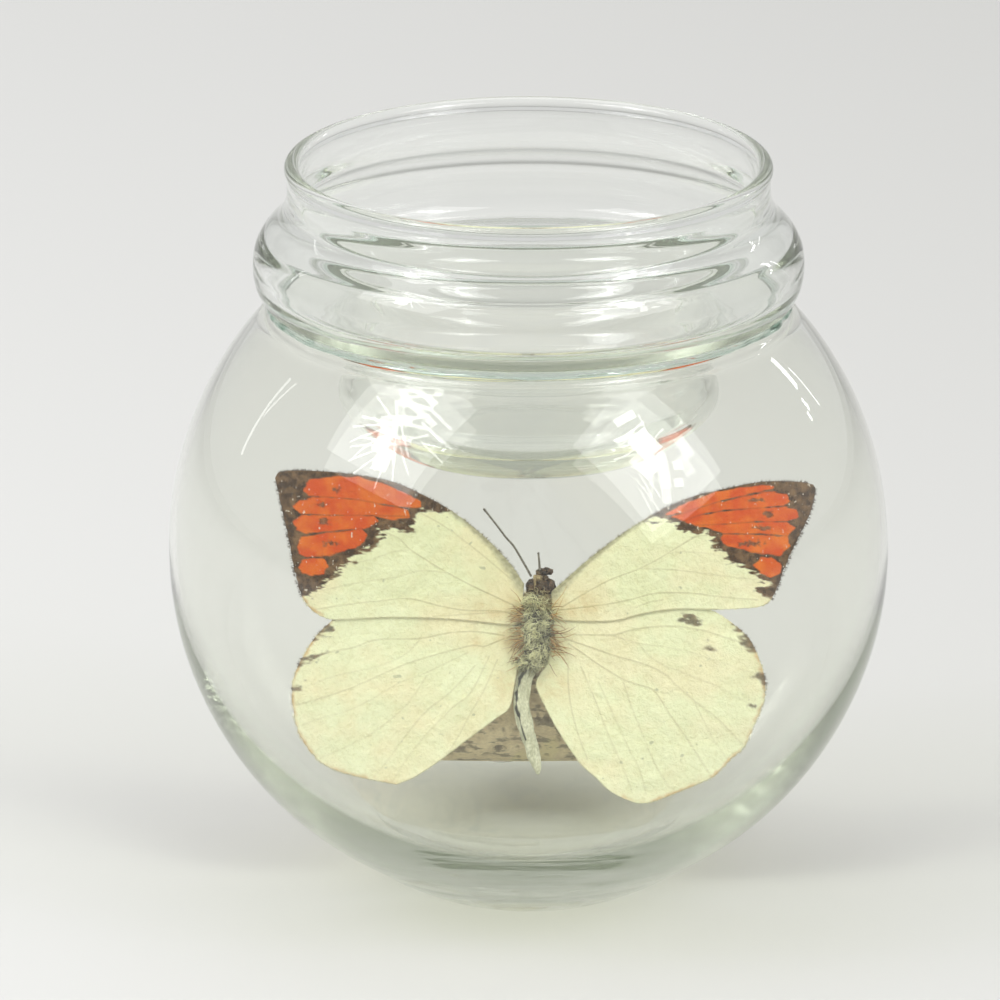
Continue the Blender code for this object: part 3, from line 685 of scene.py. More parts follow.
hindwingLeft = {
    "root": [(-2.9, -4.4), (-2.7, 2.0)],
    "front": [(-2.7, 2.0), (-6.0, 3.4), (-15.5, 4.8), (-25.2, 4.5), (-30.8, 3.4), (-33.2, 1.4)],
    "outer": [(-22.4, -24.4), (-26.0, -23.7), (-29.8, -22.9), (-32.7, -22.0), (-35.3, -20.5),
              (-37.5, -17.9), (-38.9, -14.9), (-39.5, -9.5), (-38.5, -5.8), (-35.9, -1.4), (-33.2, 1.4)],
    "hind": [(-2.9, -4.4), (-3.6, -8.6), (-4.4, -12.3), (-6.6, -14.1), (-11.1, -17.4), (-15.5, -20.7),
             (-19.4, -23.2), (-22.4, -24.4)],
    "veins": [
        [(-5.2, -0.7), (-9.9, -0.1), (-14.1, -0.3), (-18.8, -1.2), (-25.6, -1.4), (-29.5, -2.7),
         (-34.2, -3.7), (-38.6, -5.6)],
        [(-18.8, -1.4), (-20.6, -3.3), (-23.0, -4.8), (-26.9, -6.1), (-30.8, -6.9), (-34.7, -8.0),
         (-39.1, -9.8)],
        [(-5.2, -1.2), (-8.9, -2.6), (-9.9, -2.2), (-15.1, -3.5), (-20.4, -5.1), (-23.5, -6.4),
         (-28.2, -8.5), (-32.1, -10.0), (-38.6, -11.9)],
        [(-11.2, -3.5), (-13.8, -4.8), (-17.7, -6.7), (-21.7, -8.2), (-24.5, -9.8), (-27.1, -11.3),
         (-30.8, -12.9), (-34.7, -13.9), (-38.3, -15.2)],
        [(-17.7, -7.2), (-19.3, -9.8), (-21.4, -12.4), (-24.5, -15.0), (-28.7, -17.6), (-34.9, -20.2)],
        [(-9.9, -5.6), (-13.8, -9.8), (-17.7, -12.9), (-21.4, -17.3), (-24.5, -21.5), (-26.5, -23.5)],
        [(-7.6, -4.0), (-10.5, -9.8), (-13.6, -12.4), (-17.2, -16.0), (-20.4, -19.9), (-23.0, -23.8)],
        [(-6.3, -4.6), (-8.6, -9.8), (-10.7, -13.4), (-12.5, -16.8), (-14.1, -19.4)],
    ],
    "strong": (0, 2),
    "marks": [
        [(-32.0, 2.2), (-32.9, 0.3), (-35.6, -1.5), (-36.4, -2.2), (-36.7, -1.0), (-33.9, 1.6)],
        [(-39.4, -6.3), (-38.9, -4.8), (-36.8, -4.1), (-34.0, -3.7), (-36.5, -4.9)],
        [(-39.8, -10.2), (-39.3, -9.2), (-37.3, -8.6), (-38.1, -9.5)],
    ],
    "stain": [(-4.5, -1.0, 2.4), (-4.8, -9.0, 2.6), (-9.6, -1.6, 1.0)],
    "warm": 0.9,
}

hindwingRight = {
    "root": [(1.9, -5.2), (2.6, 2.0)],
    "front": [(2.6, 2.0), (6.0, 3.6), (13.3, 5.1), (24.5, 4.6), (28.4, 3.2), (31.2, 1.4)],
    "outer": [(13.8, -26.8), (16.2, -27.6), (18.6, -27.4), (22.1, -26.1), (26.0, -24.5), (27.9, -23.7),
              (29.6, -22.4), (31.1, -20.7), (33.0, -19.2), (34.3, -17.1), (35.3, -14.7), (36.4, -12.2),
              (36.9, -9.6), (36.7, -7.5), (35.7, -4.5), (34.1, -1.3), (31.2, 1.4)],
    "hind": [(1.9, -5.2), (-0.1, -8.4), (1.4, -12.3), (3.8, -16.7), (6.9, -21.2), (9.3, -23.4),
             (11.5, -25.5), (13.8, -26.8)],
    "veins": [
        [(4.6, -0.5), (8.9, -0.6), (12.4, -0.6), (14.9, 0.1), (18.9, 0.7), (22.7, 0.7), (26.4, 0.1),
         (30.2, -1.1), (33.4, -2.2), (35.2, -3.2)],
        [(12.4, -0.8), (16.4, -2.0), (20.2, -2.5), (23.9, -3.3), (28.4, -4.7), (33.4, -6.5), (35.9, -7.2)],
        [(16.5, -2.2), (18.9, -4.7), (22.7, -6.5), (25.9, -7.7), (28.9, -9.0), (33.9, -11.5),
         (35.8, -13.0)],
        [(4.6, -1.2), (8.4, -2.5), (12.7, -4.0), (17.7, -5.5), (20.9, -7.2), (22.4, -8.7), (25.2, -11.2),
         (28.9, -14.0), (33.2, -18.2)],
        [(5.1, -2.0), (7.6, -3.7), (10.1, -5.5), (13.9, -7.8), (16.4, -8.7), (18.9, -9.7), (21.4, -13.5),
         (23.9, -17.0), (25.9, -20.0), (28.0, -23.2)],
        [(18.9, -9.7), (20.9, -10.0), (22.4, -9.2)],
        [(25.2, -11.2), (26.9, -14.7), (28.9, -18.2), (30.7, -20.5)],
        [(13.9, -8.2), (15.2, -12.2), (16.9, -16.5), (18.9, -21.2), (21.2, -25.0)],
        [(9.9, -8.2), (12.4, -13.7), (14.4, -18.2), (16.4, -22.2), (17.5, -26.2)],
        [(7.1, -5.7), (9.4, -11.2), (11.4, -16.5), (13.7, -21.7), (15.2, -25.7)],
        [(5.0, -5.2), (5.1, -9.2), (5.6, -12.7), (6.6, -16.5), (8.1, -20.5)],
    ],
    "strong": (0, 3, 4),
    "marks": [
        [(22.8, 1.9), (23.7, 2.9), (25.2, 3.2), (26.5, 2.1), (25.8, 0.9), (24.2, 1.1)],
        [(27.2, -2.6), (27.8, -2.2), (28.6, -3.0), (27.9, -3.1)],
        [(31.4, 1.0), (33.9, 0.6), (36.5, -3.9), (34.7, -3.2), (33.4, -2.3), (32.3, -1.2), (33.2, -1.2)],
        [(34.8, -7.5), (35.4, -6.8), (36.9, -6.6), (37.8, -9.9), (36.2, -8.5)],
        [(34.1, -11.6), (34.9, -12.0), (36.3, -13.3), (35.2, -12.9)],
    ],
    "stain": [(4.2, -2.0, 2.4), (2.6, -9.0, 2.8)],
    "warm": 0.45,
}


# name, look, lift and node of each wing
wings = (
    ("hindwingLeft", hindwingLeft, wingForm["back"], "hindwing_left"),
    ("hindwingRight", hindwingRight, wingForm["back"], "hindwing_right"),
    ("forewingLeft", forewingLeft, wingForm["forward"], "forewing_left"),
    ("forewingRight", forewingRight, wingForm["forward"], "forewing_right"),
)


# distance from each point to the nearest stretch of a line
def lineDistance(points, line):
    line = np.asarray(line, float)
    best = np.full(points.shape[:-1], 1e9)
    for a, b in zip(line[:-1], line[1:]):
        t = np.clip(((points - a) @ (b - a)) / ((b - a) @ (b - a)), 0, 1)
        best = np.minimum(best, np.linalg.norm(points - a - t[..., None] * (b - a), axis=-1))
    return best


# distance to the outline of a closed patch, positive inside it, where a ray from the point crosses
# the outline an odd number of times
def patchDepth(points, outline):
    line = np.asarray(outline + outline[:1], float)
    inside = np.zeros(points.shape[:-1], bool)
    x, z = points[..., 0], points[..., 1]
    for a, b in zip(line[:-1], line[1:]):
        crosses = (a[1] > z) != (b[1] > z)
        inside ^= crosses & (x < (b[0] - a[0]) * (z - a[1]) / (b[1] - a[1] + 1e-12) + a[0])
    return np.where(inside, 1, -1) * lineDistance(points, line)


# depth of a wing sheet: rises forward outwards with a bow, buckles slowly and wrinkles finely
def wingDepth(x, z, lift):
    w = wingForm
    outward = np.abs(x) - w["root"]
    bow = w["bow"] * np.sin(math.pi * np.clip(outward / w["span"], 0, 1))
    p = np.stack([x, z], -1)
    waves = w["buckle"] * noise(p, w["buckleSize"], 31)
    waves = waves + w["wrinkle"] * layeredNoise(p, w["wrinkleSize"], 33)
    return w["depth"] + lift - w["rise"] * outward + bow + rise(outward, 0.0, w["stiff"]) * waves


# Coons patch: blends hind to front edge and root to outer edge, less the corners counted twice;
# the outer edge is drawn in by a ragged noise that fades at its ends
def wingGrid(look):
    rows, columns = wingForm["rows"], wingForm["columns"]
    front, hind = smoothLine(look["front"], columns), smoothLine(look["hind"], columns)
    root, outer = evenSteps(np.array(look["root"]), rows), smoothLine(look["outer"], rows)
    rag = wingForm["rag"] * (0.35 + np.abs(layeredNoise(outer, 0.9, 41)))
    fade = np.sin(np.linspace(0, math.pi, rows)) / np.linalg.norm(outer, axis=1)
    outer = outer - outer * (rag * fade)[:, None]
    u, v = np.linspace(0, 1, columns)[:, None, None], np.linspace(0, 1, rows)[None, :, None]
    flat = (1 - v) * hind[:, None] + v * front[:, None] + (1 - u) * root[None] + u * outer[None]
    return flat - (1 - u) * ((1 - v) * root[0] + v * root[-1]) - u * ((1 - v) * outer[0] + v * outer[-1])


# feathered patch mask: its outline is broken up along the run of the scales
def featherMask(points, outlines, soft, feather, seed, grow=0.0):
    run = points * np.array([0.35, 1.0])
    away = grow + feather * layeredNoise(run, 0.5, seed)
    depth = np.max([patchDepth(points, outline) for outline in outlines], axis=0)
    return rise(depth + away, -soft, soft)


# what is drawn on a wing: veins that fade outwards, feathered dark and orange patches, the olive
# front edge, round stains that fade as exp(-r^2) and a narrow rim
def wingMasks(flat, look):
    x, z = flat[..., 0], flat[..., 1]
    far = np.clip(np.abs(x) / wingForm["veinReach"], 0, 1)
    veins = np.zeros(x.shape)
    for number, vein in enumerate(look["veins"]):
        force = (1.0 if number in look["strong"] else wingForm["veinWeak"]) * (1 - 0.45 * far)
        near = 1 - rise(lineDistance(flat, smoothLine(vein, 40)), 0.02, wingForm["veinWidth"])
        veins = np.maximum(veins, force * near)
    orange = costa = np.zeros(x.shape)
    if "dark" in look:
        dark = featherMask(flat, [look["dark"]], 0.28, 0.75, 51)
        orange = featherMask(flat, look["cells"], 0.10, 0.16, 57, 0.12)
        for across, high, wide, tall in look["spots"]:
            reach = np.hypot((x - across) / wide, (z - high) / tall) + 0.7 * layeredNoise(flat, 0.45, 61)
            orange = orange * (0.15 + 0.85 * rise(reach, 0.5, 1.3))
        outward, widths = np.transpose(look["costa"])
        width = np.interp(np.abs(x), outward, widths)
        edge = lineDistance(flat, smoothLine(look["front"], 60)) + 0.15 * layeredNoise(flat, 0.5, 63)
        costa = (1 - rise(edge, 0.1 * width, 1.15 * width)) * (0.8 + 0.2 * layeredNoise(flat, 0.35, 64))
    else:
        dark = 0.85 * featherMask(flat, look["marks"], 0.4, 0.7, 53)
    stain = sum(np.exp(-((x - a) ** 2 + (z - b) ** 2) / (r * r)) for a, b, r in look["stain"])
    rim = lineDistance(flat, smoothLine(look["outer"], 80)) + 0.25 * noise(flat, 0.7, 65)
    return {
        "vein": veins * (0.75 + 0.25 * noise(flat, 2.2, 49)), "dark": dark, "orange": orange,
        "costa": costa, "stain": np.clip(stain, 0, 1), "rim": 1 - rise(rim, 0.05, 0.9),
    }


# upper and lower sheet share their edge; each is the grid moved half a thickness, with the veins raised
def wingPiece(name, look, lift, material, node):
    flat = wingGrid(look)
    columns, rows = flat.shape[:2]
    masks = wingMasks(flat, look)
    x, z = behindGlass(flat[..., 0], flat[..., 1])
    depth = wingDepth(x, z, lift)
    inner = np.zeros((columns, rows))
    inner[1:-1, 1:-1] = 1
    half = wingForm["thick"] / 2
    ridge = wingForm["veinHeight"] * masks["vein"]
    upper = np.stack([x, depth - (half + ridge) * inner, z], -1)
    core = np.stack([x, depth + half - 0.5 * ridge, z], -1)[1:-1, 1:-1]
    below = np.arange(columns * rows).reshape(columns, rows)
    below[1:-1, 1:-1] = columns * rows + np.arange((columns - 2) * (rows - 2)).reshape(core.shape[:2])
    quads = gridQuads(columns, rows, wrap=False)
    corners = leanBack(np.vstack([upper.reshape(-1, 3), core.reshape(-1, 3)]))
    piece = makePiece(name, corners, np.vstack([quads, below.ravel()[quads][:, ::-1]]))
    for key, values in masks.items():
        keepMask(piece, key, np.concatenate([values.ravel(), values[1:-1, 1:-1].ravel()]))
    settle(piece, material, node)


wingColours = {
    # the yellow patches lose a share of green and blue by the wing's own warmth
    "green": (0.94, 0.96, 0.675), "yellow": (0.97, 0.92, 0.66), "warmLoss": (0, 0.015, 0.04),
    "grain": (0.93, 0.925, 0.88), "crinkleAndShade": (0.93, 0.92, 0.87), "stain": (0.74, 0.56, 0.28),
    "vein": (0.38, 0.31, 0.13), "speck": (0.33, 0.34, 0.22), "rim": (0.66, 0.42, 0.18),
    "costa": (0.27, 0.25, 0.16), "cut": (0.12, 0.03, 0.01), "dust": (0.85, 0.78, 0.66),
    "brown": ((0.055, 0.028, 0.010), (0.21, 0.12, 0.055)),
    "fire": ((0.70, 0.085, 0.003), (0.80, 0.18, 0.012)),
}


# scale colours: cream, stained at the root, with painted shade in the crinkle hollows, then veins, olive
# front edge, dark apex and orange cells
def wingMaterial(name, warm):
    s, c = Shade(name), wingColours
    yellow = tuple(part - loss * warm for part, loss in zip(c["yellow"], c["warmLoss"]))
    grain = s.mottled(190.0, 4200.0, 0.4)
    crinkleAndShade = s.noiseOf(s.place(turn=0.6), 1300.0, 2.0, 0.65, 0.6)
    vein, dark, orange = s.mask("vein"), s.mask("dark"), s.mask("orange")
    tone = s.mix(s.patches(75.0, 0.42, 0.6, 3.0, 0.6), c["green"], yellow)
    tone = s.dull(tone, s.ramp(grain.outputs["Value"], 0.36, 0.62), c["grain"])
    # painted shade: darker where the crinkle noise, which also bumps the sheet, is low
    tone = s.dull(tone, s.ramp(crinkleAndShade, 0.34, 0.52), c["crinkleAndShade"])
    blush = s.times(s.mask("stain"), s.patches(330.0, 0.3, 0.65, 3.0, 0.6))
    tone = s.over(tone, blush, 0.7, c["stain"])
    tone = s.over(tone, vein, 0.62, c["vein"])
    tone = s.over(tone, s.patches(700.0, 0.75, 0.79, 1.0, 0.4), 0.5, c["speck"])
    tanned = s.times(s.mask("rim"), s.patches(260.0, 0.36, 0.55, 3.0, 0.6))
    tone = s.over(tone, tanned, 0.85, c["rim"])
    tone = s.over(tone, s.mask("costa"), 0.85, c["costa"])
    tone = s.mix(dark, tone, s.mix(s.patches(900.0, 0.38, 0.66), *c["brown"]))
    tone = s.mix(orange, tone, s.mix(s.patches(260.0, 0.38, 0.62, 3.0, 0.6), *c["fire"]))
    tone = s.over(tone, s.times(vein, orange), 0.9, c["cut"])
    dust = s.patches(1900.0, 0.68, 0.73, 2.0, stretch=(1.0, 1.0, 0.6))
    tone = s.over(tone, s.times(dust, s.math("MAXIMUM", dark, orange)), 0.7, c["dust"])
    s.paint(tone, 0.82, {"Specular IOR Level": 0.25, "Sheen Weight": 0.08})
    s.bump(s.math("ADD", s.times(grain.outputs["Height"], 0.3), crinkleAndShade), 0.8, 0.0003)
    return s.material


for label, look, lift, node in wings:
    wingPiece(label, look, lift, wingMaterial(label + "Scales", look["warm"]), node)
print("wings done")


body = {
    # x, y, z, half width, half depth from the tip of the abdomen to the neck
    "rings": [
        (0.2, -0.2, -22.9, 0.3, 0.3), (0.0, -0.2, -21.6, 0.9, 0.8), (-0.5, -0.2, -20.2, 1.25, 1.0),
        (-1.1, -0.2, -18.0, 1.4, 1.2), (-1.9, -0.2, -15.2, 1.5, 1.3), (-2.4, -0.2, -11.6, 1.5, 1.3),
        (-2.1, -0.1, -8.2, 1.4, 1.3), (-1.3, 0.0, -6.2, 1.7, 1.5), (-0.4, 0.0, -4.0, 2.3, 1.9),
        (0.0, 0.0, -1.0, 2.6, 2.1), (0.0, 0.0, 2.0, 2.6, 2.2), (0.0, 0.0, 4.4, 2.2, 1.9),
        (0.1, 0.0, 6.2, 1.5, 1.4), (0.4, 0.0, 7.2, 1.2, 1.1),
    ],
    # painted shade: a dark line down the left side of the abdomen, where it folds
    "shadowSeam": [
        (-1.2, -4.6), (-1.6, -6.4), (-2.9, -8.2), (-3.4, -10.6), (-3.3, -13.6), (-2.6, -16.8),
        (-1.9, -19.0),
    ],
    "turns": 96, "steps": 220, "crumple": 0.3, "foldSize": 1.3,
    # darkest and palest flakes of the abdomen and of the thorax, then the painted shade of the creases and
    # of the fold line
    "pale": ((0.50, 0.50, 0.34), (0.80, 0.80, 0.62)), "dark": ((0.025, 0.022, 0.014), (0.13, 0.12, 0.075)),
    "creaseShade": (0.34, 0.34, 0.23), "line": (0.045, 0.045, 0.035),
}


# elliptic rings along the body line; the abdomen is crumpled by a noise stretched along it
def bodyCore(b):
    rings = np.array(b["rings"])
    rings[:, 0], rings[:, 2] = behindGlass(rings[:, 0], rings[:, 2])
    line = smoothLine(rings, b["steps"])
    a = np.linspace(0, math.tau, b["turns"], endpoint=False)[None]
    wide, deep = line[:, 3:4], line[:, 4:5]
    out = np.stack([wide * np.cos(a), deep * np.sin(a), np.zeros_like(wide * a)], -1)
    p = line[:, None, :3] + out
    folds = 0.5 + 0.5 * layeredNoise(p * np.array([1.6, 1.6, 0.5]), b["foldSize"], 71)
    thin = 1 - rise(line[:, 2], -9.0, -4.0)
    keep = 1 - b["crumple"] * folds * (0.35 + 0.65 * thin)[:, None]
    rows = line[:, None, :3] + out * keep[..., None]
    tip, neck = line[0, :3] - [0, 0, 0.25], line[-1, :3] + [0, 0, 0.3]
    piece = ringStack("butterflyBody", leanBack(rows), leanBack(tip), leanBack(neck))
    behind = 3.0 * (p[..., 1] > 0.3)
    # painted shade along the fold line down the left side, on the front only
    shadowSeam = rise(lineDistance(p[..., ::2], b["shadowSeam"]) + 0.25 * noise(p, 0.9, 73) + behind, 0.05, 0.3)
    # the crumple noise is kept so that painted shade can darken the creases where it sinks them
    keepMask(piece, "creaseShade", np.concatenate([folds.ravel(), [0.5, 0.5]]))
    keepMask(piece, "belly", np.concatenate([np.repeat(thin, b["turns"]), [1, 0]]))
    keepMask(piece, "shadowSeam", np.concatenate([(1 - shadowSeam).ravel(), [0, 0]]))
    return piece


# flaky pale abdomen with painted shade in its sunk creases and along its fold line; the thorax is dark
# under its hair
def bodyMaterial(b):
    s = Shade("bodySkin")
    grain = s.mottled(700.0, 3600.0, 0.5, (1.0, 1.0, 0.5))
    flakes = s.ramp(grain.outputs["Value"], 0.4, 0.6)
    # painted shade: darker where the creases sink in
    pale = s.over(s.mix(flakes, *b["pale"]), s.ramp(s.mask("creaseShade"), 0.5, 0.8), 0.6, b["creaseShade"])
    # painted shade of the fold line
    pale = s.mix(s.mask("shadowSeam"), pale, b["line"])
    s.paint(s.mix(s.mask("belly"), s.mix(flakes, *b["dark"]), pale), 0.85)
    s.bump(grain.outputs["Height"], 0.5, 0.00015)
    return s.material


settle(bodyCore(body), bodyMaterial(body), "butterfly_body")

head = {
    # x, y, z, radius across, deep, high of each rounded lump and how tan it is
    "lumps": [
        (-0.75, -0.3, 7.4, 0.95, 1.1, 1.25, 0.0),
        (0.65, -0.2, 7.5, 1.1, 1.1, 1.3, 0.1),
        (1.9, -0.3, 7.5, 1.1, 1.15, 1.25, 0.0),
        (-0.35, -0.95, 8.0, 0.26, 0.5, 1.3, 0.95),
        (0.25, -0.5, 8.9, 0.75, 0.6, 0.6, 0.75),
        (1.35, -0.5, 8.9, 0.5, 0.6, 0.5, 0.15),
        (0.55, -0.4, 9.9, 0.65, 0.6, 0.6, 0.2),
        (1.6, -0.5, 10.0, 0.95, 0.75, 0.6, 0.0),
    ],
    "turns": 48, "steps": 32, "rough": 0.3, "roughSize": 0.45,
    "dark": ((0.012, 0.007, 0.004), (0.13, 0.075, 0.038)), "tan": ((0.20, 0.14, 0.07), (0.50, 0.40, 0.22)),
}


# ball stretched to three half axes and roughened by a noise, one for each lump
def headLump(name, lump):
    x, y, z, rx, ry, rz, tan = lump
    t = np.radians(np.linspace(-90, 90, head["steps"] + 2)[1:-1])[:, None]
    a = np.linspace(0, math.tau, head["turns"], endpoint=False)[None]
    p = np.stack(np.broadcast_arrays(np.cos(t) * np.cos(a), np.cos(t) * np.sin(a), np.sin(t)), -1)
    p = p * (1 + head["rough"] * layeredNoise(p + x, head["roughSize"], 81))[..., None]
    at, pole = np.array([x, y, z]), np.array([0, 0, rz])
    rows = at + p * np.array([rx, ry, rz])
    piece = ringStack(name, leanBack(rows), leanBack(at - pole), leanBack(at + pole))
    keepMask(piece, "tan", np.full(len(piece.data.vertices), tan))
    return piece


# flecked dark brown, blended to tan by the lump's own measure
def headMaterial(h):
    s = Shade("headBrown")
    grain = s.mottled(900.0, 3200.0, 0.5)
    flecks = s.ramp(grain.outputs["Value"], 0.42, 0.58)
    s.paint(s.mix(s.mask("tan"), s.mix(flecks, *h["dark"]), s.mix(flecks, *h["tan"])), 0.6)
    s.bump(grain.outputs["Height"], 0.4, 0.0001)
    return s.material


headBrown = headMaterial(head)
for number, lump in enumerate(head["lumps"]):
    settle(headLump(f"headLump{number}", lump), headBrown, "butterfly_body")

limbs = {
    "legs": [
        [(1.2, 1.0, 4.6), (3.2, 4.6, 6.0), (3.6, 8.0, 3.6), (3.2, 10.2, 0.35)],
        [(1.4, 1.0, 3.0), (4.0, 4.4, 4.2), (4.6, 6.8, 2.0), (4.4, 8.3, -0.55)],
        [(1.4, 1.0, 1.4), (3.6, 3.6, 2.4), (5.2, 5.4, 0.4), (5.4, 6.4, -1.75)],
    ],
    "legRadius": 0.28, "legSteps": 60,
    "feelerLeft": [
        (-0.9, -0.9, 9.2), (-2.2, -1.3, 11.6), (-3.7, -1.9, 14.2), (-4.9, -2.4, 15.6), (-6.3, -3.0, 17.5),
        (-8.5, -3.6, 20.4),
    ],
    "feelerRight": [(0.5, -0.9, 10.2), (0.4, -1.1, 11.6), (0.25, -1.3, 13.1)],
    "feelerRadius": 0.17, "feelerSteps": 120,
    "bands": ((0.10, 0.085, 0.065), (0.27, 0.25, 0.21)),
}


# dark and paler bands across the limbs: a noise squeezed along the height
def limbMaterial(m):
    s = Shade("darkFeeler")
    s.paint(s.mix(s.patches(2200.0, 0.4, 0.62, 2.0, stretch=(1.0, 1.0, 3.0)), *m["bands"]), 0.6)
    return s.material


# legs taper evenly; feelers are ringed by a sine along their length and end in a club
darkFeeler = limbMaterial(limbs)
for label, side in (("Right", 1), ("Left", -1)):
    for number, leg in enumerate(limbs["legs"]):
        line = smoothLine(np.array(leg) * [side, 1, 1], limbs["legSteps"])
        radius = limbs["legRadius"] * (1 - 0.45 * np.linspace(0, 1, limbs["legSteps"]))
        piece = tubePiece(f"leg{number}{label}", leanBack(line), radius)
        settle(piece, darkFeeler, "butterfly_body")
for label, node in (("feelerLeft", "antenna_left"), ("feelerRight", "antenna_right")):
    line = smoothLine(limbs[label], limbs["feelerSteps"])
    s = np.linspace(0, 1, limbs["feelerSteps"])
    form = (1 + 0.07 * np.sin(s * 150)) * (1 + 0.35 * rise(s, 0.9, 1.0)) * (1.15 - 0.25 * s)
    piece = tubePiece(label, leanBack(line), limbs["feelerRadius"] * form)
    settle(piece, darkFeeler, node)
print("body done")


hair = {
    "tufts": 330, "perTuft": 16, "under": 1500, "collar": 620, "rootStrands": 110, "seed": 7,
    # hairs for each millimetre of a wing's margin, their length and width
    "fringeDensity": 9.0, "fringeLength": 0.55, "fringeWidth": 0.055,
    # colours of the darkest and the palest hairs of each kind
    "paleHair": ((0.16, 0.15, 0.06), (1.0, 0.98, 0.63)),
    "darkHair": ((0.025, 0.023, 0.014), (0.32, 0.30, 0.17)),
    "tanHair": ((0.26, 0.19, 0.08), (0.68, 0.58, 0.32)),
    "rustHair": ((0.22, 0.10, 0.022), (0.66, 0.42, 0.14)),
    "fringeHair": ((0.09, 0.055, 0.03), (0.86, 0.83, 0.58)),
}


# directions turned with the insect, without its place
def leanOnly(vectors):
    return leanBack(vectors) - leanBack(np.zeros(3))


# places on the thorax: the body's half axes at a height, taken round by an angle
def thoraxPlaces(z, a, share):
    ring = np.array(body["rings"])
    order = np.argsort(ring[:, 2])
    cx, wide, deep = (np.interp(z, ring[order, 2], ring[order, k]) for k in (0, 3, 4))
    return np.stack([cx + share * wide * np.cos(a), share * deep * np.sin(a), z], -1)


# fibres given in the insect's own frame
def bodyHair(name, roots, ways, bends, lengths, widths, tones, steps, curl, turn=5.0):
    places = leanBack(roots), leanOnly(ways), leanOnly(bends)
    return fibrePiece(name, *places, lengths, widths, tones, steps, curl=curl, turn=turn)


# woolly tufts: the hairs of one tuft share a root place, a way and a shade, and curl together
def thoraxHair(h):
    dice = np.random.default_rng(h["seed"])
    n, k = h["tufts"], h["perTuft"]
    z = dice.uniform(-6.2, 5.4, n)
    a = np.where(dice.random(n) < 0.72, dice.uniform(math.pi, math.tau, n), dice.uniform(0, math.tau, n))
    at = thoraxPlaces(z, a, 0.86)
    out = np.stack([np.cos(a), np.sin(a), np.zeros(n)], 1)
    way = out * np.array([0.9, 0.5, 0.5]) + dice.normal(0, 0.65, (n, 3)) * np.array([1.0, 0.4, 1.0])
    shade = np.where(dice.random(n) < 0.78, dice.normal(0.92, 0.12, n), dice.normal(0.15, 0.15, n))
    roots = np.repeat(at, k, axis=0) + dice.normal(0, 0.16, (n * k, 3))
    ways = np.repeat(way, k, axis=0) + dice.normal(0, 0.28, (n * k, 3))
    bends = np.repeat(dice.normal(0, 0.5, (n, 3)), k, axis=0) + np.array([0, 0.15, -0.2])
    lengths = np.repeat(dice.uniform(0.5, 1.6, n) * (1 + 0.25 * np.abs(np.cos(a))), k)
    lengths = lengths * dice.uniform(0.7, 1.2, n * k)
    widths = dice.uniform(0.05, 0.10, n * k)
    tones = np.clip(np.repeat(np.clip(shade, 0, 1), k) + dice.normal(0, 0.08, n * k), 0, 1)
    return bodyHair("thoraxHair", roots, ways, bends, lengths, widths, tones, 6, 0.2, 6.0)


# short dark hair under the tufts
def underHair(h):
    dice = np.random.default_rng(h["seed"] + 2)
    n = h["under"]
    a = dice.uniform(0, math.tau, n)
    roots = thoraxPlaces(dice.uniform(-6.2, 6.4, n), a, 0.9)
    ways = np.stack([np.cos(a), np.sin(a), dice.normal(-0.3, 0.5, n)], 1) + dice.normal(0, 0.3, (n, 3))
    bends = np.tile([0.0, 0.1, -0.6], (n, 1))
    lengths, widths = dice.uniform(0.3, 0.8, n), dice.uniform(0.04, 0.07, n)
    return bodyHair("underHair", roots, ways, bends, lengths, widths, 0.35 * dice.random(n), 4, 0.1)


# tan fluff between the head and the thorax, and down both sides of it over the wing roots
def collarHair(h):
    dice = np.random.default_rng(h["seed"] + 3)
    n = h["collar"]
    a = dice.uniform(0, math.tau, n)
    roots = thoraxPlaces(dice.uniform(3.6, 6.8, n), a, 0.9)
    ways = np.stack([1.5 * np.cos(a), np.sin(a), dice.uniform(-0.3, 1.0, n)], 1)
    ways = ways + dice.normal(0, 0.25, (n, 3))
    bends = np.tile([0.0, 0.1, -0.3], (n, 1))
    lengths, widths = dice.uniform(0.6, 1.7, n), dice.uniform(0.05, 0.09, n)
    return bodyHair("collarHair", roots, ways, bends, lengths, widths, dice.random(n), 5, 0.1)


# longer rust strands at the wing roots, lying over the wings, fanning outwards and curving
def rootHair(h):
    dice = np.random.default_rng(h["seed"] + 1)
    n = h["rootStrands"]
    side = np.where(dice.random(n) < 0.5, -1.0, 1.0)
    z = np.where(dice.random(n) < 0.45, dice.normal(3.1, 0.9, n), dice.normal(-1.9, 1.5, n))
    roots = np.stack([side * dice.uniform(1.9, 2.7, n), dice.uniform(-2.5, -1.9, n), z], 1)
    fan = 0.14 * (z - 0.8) + dice.normal(0, 0.42, n)
    ways = np.stack([side, dice.uniform(-0.25, 0.0, n), fan], 1)
    bends = np.stack([side * 0.05, dice.uniform(0.0, 0.12, n), dice.normal(-0.15, 0.35, n)], 1)
    lengths = dice.uniform(1.2, 3.0, n) * np.where(dice.random(n) < 0.3, 1.6, 1.0)
    widths = dice.uniform(0.06, 0.1, n)
    return bodyHair("wingRootHair", roots, ways, bends, lengths, widths, dice.random(n), 6, 0.05)


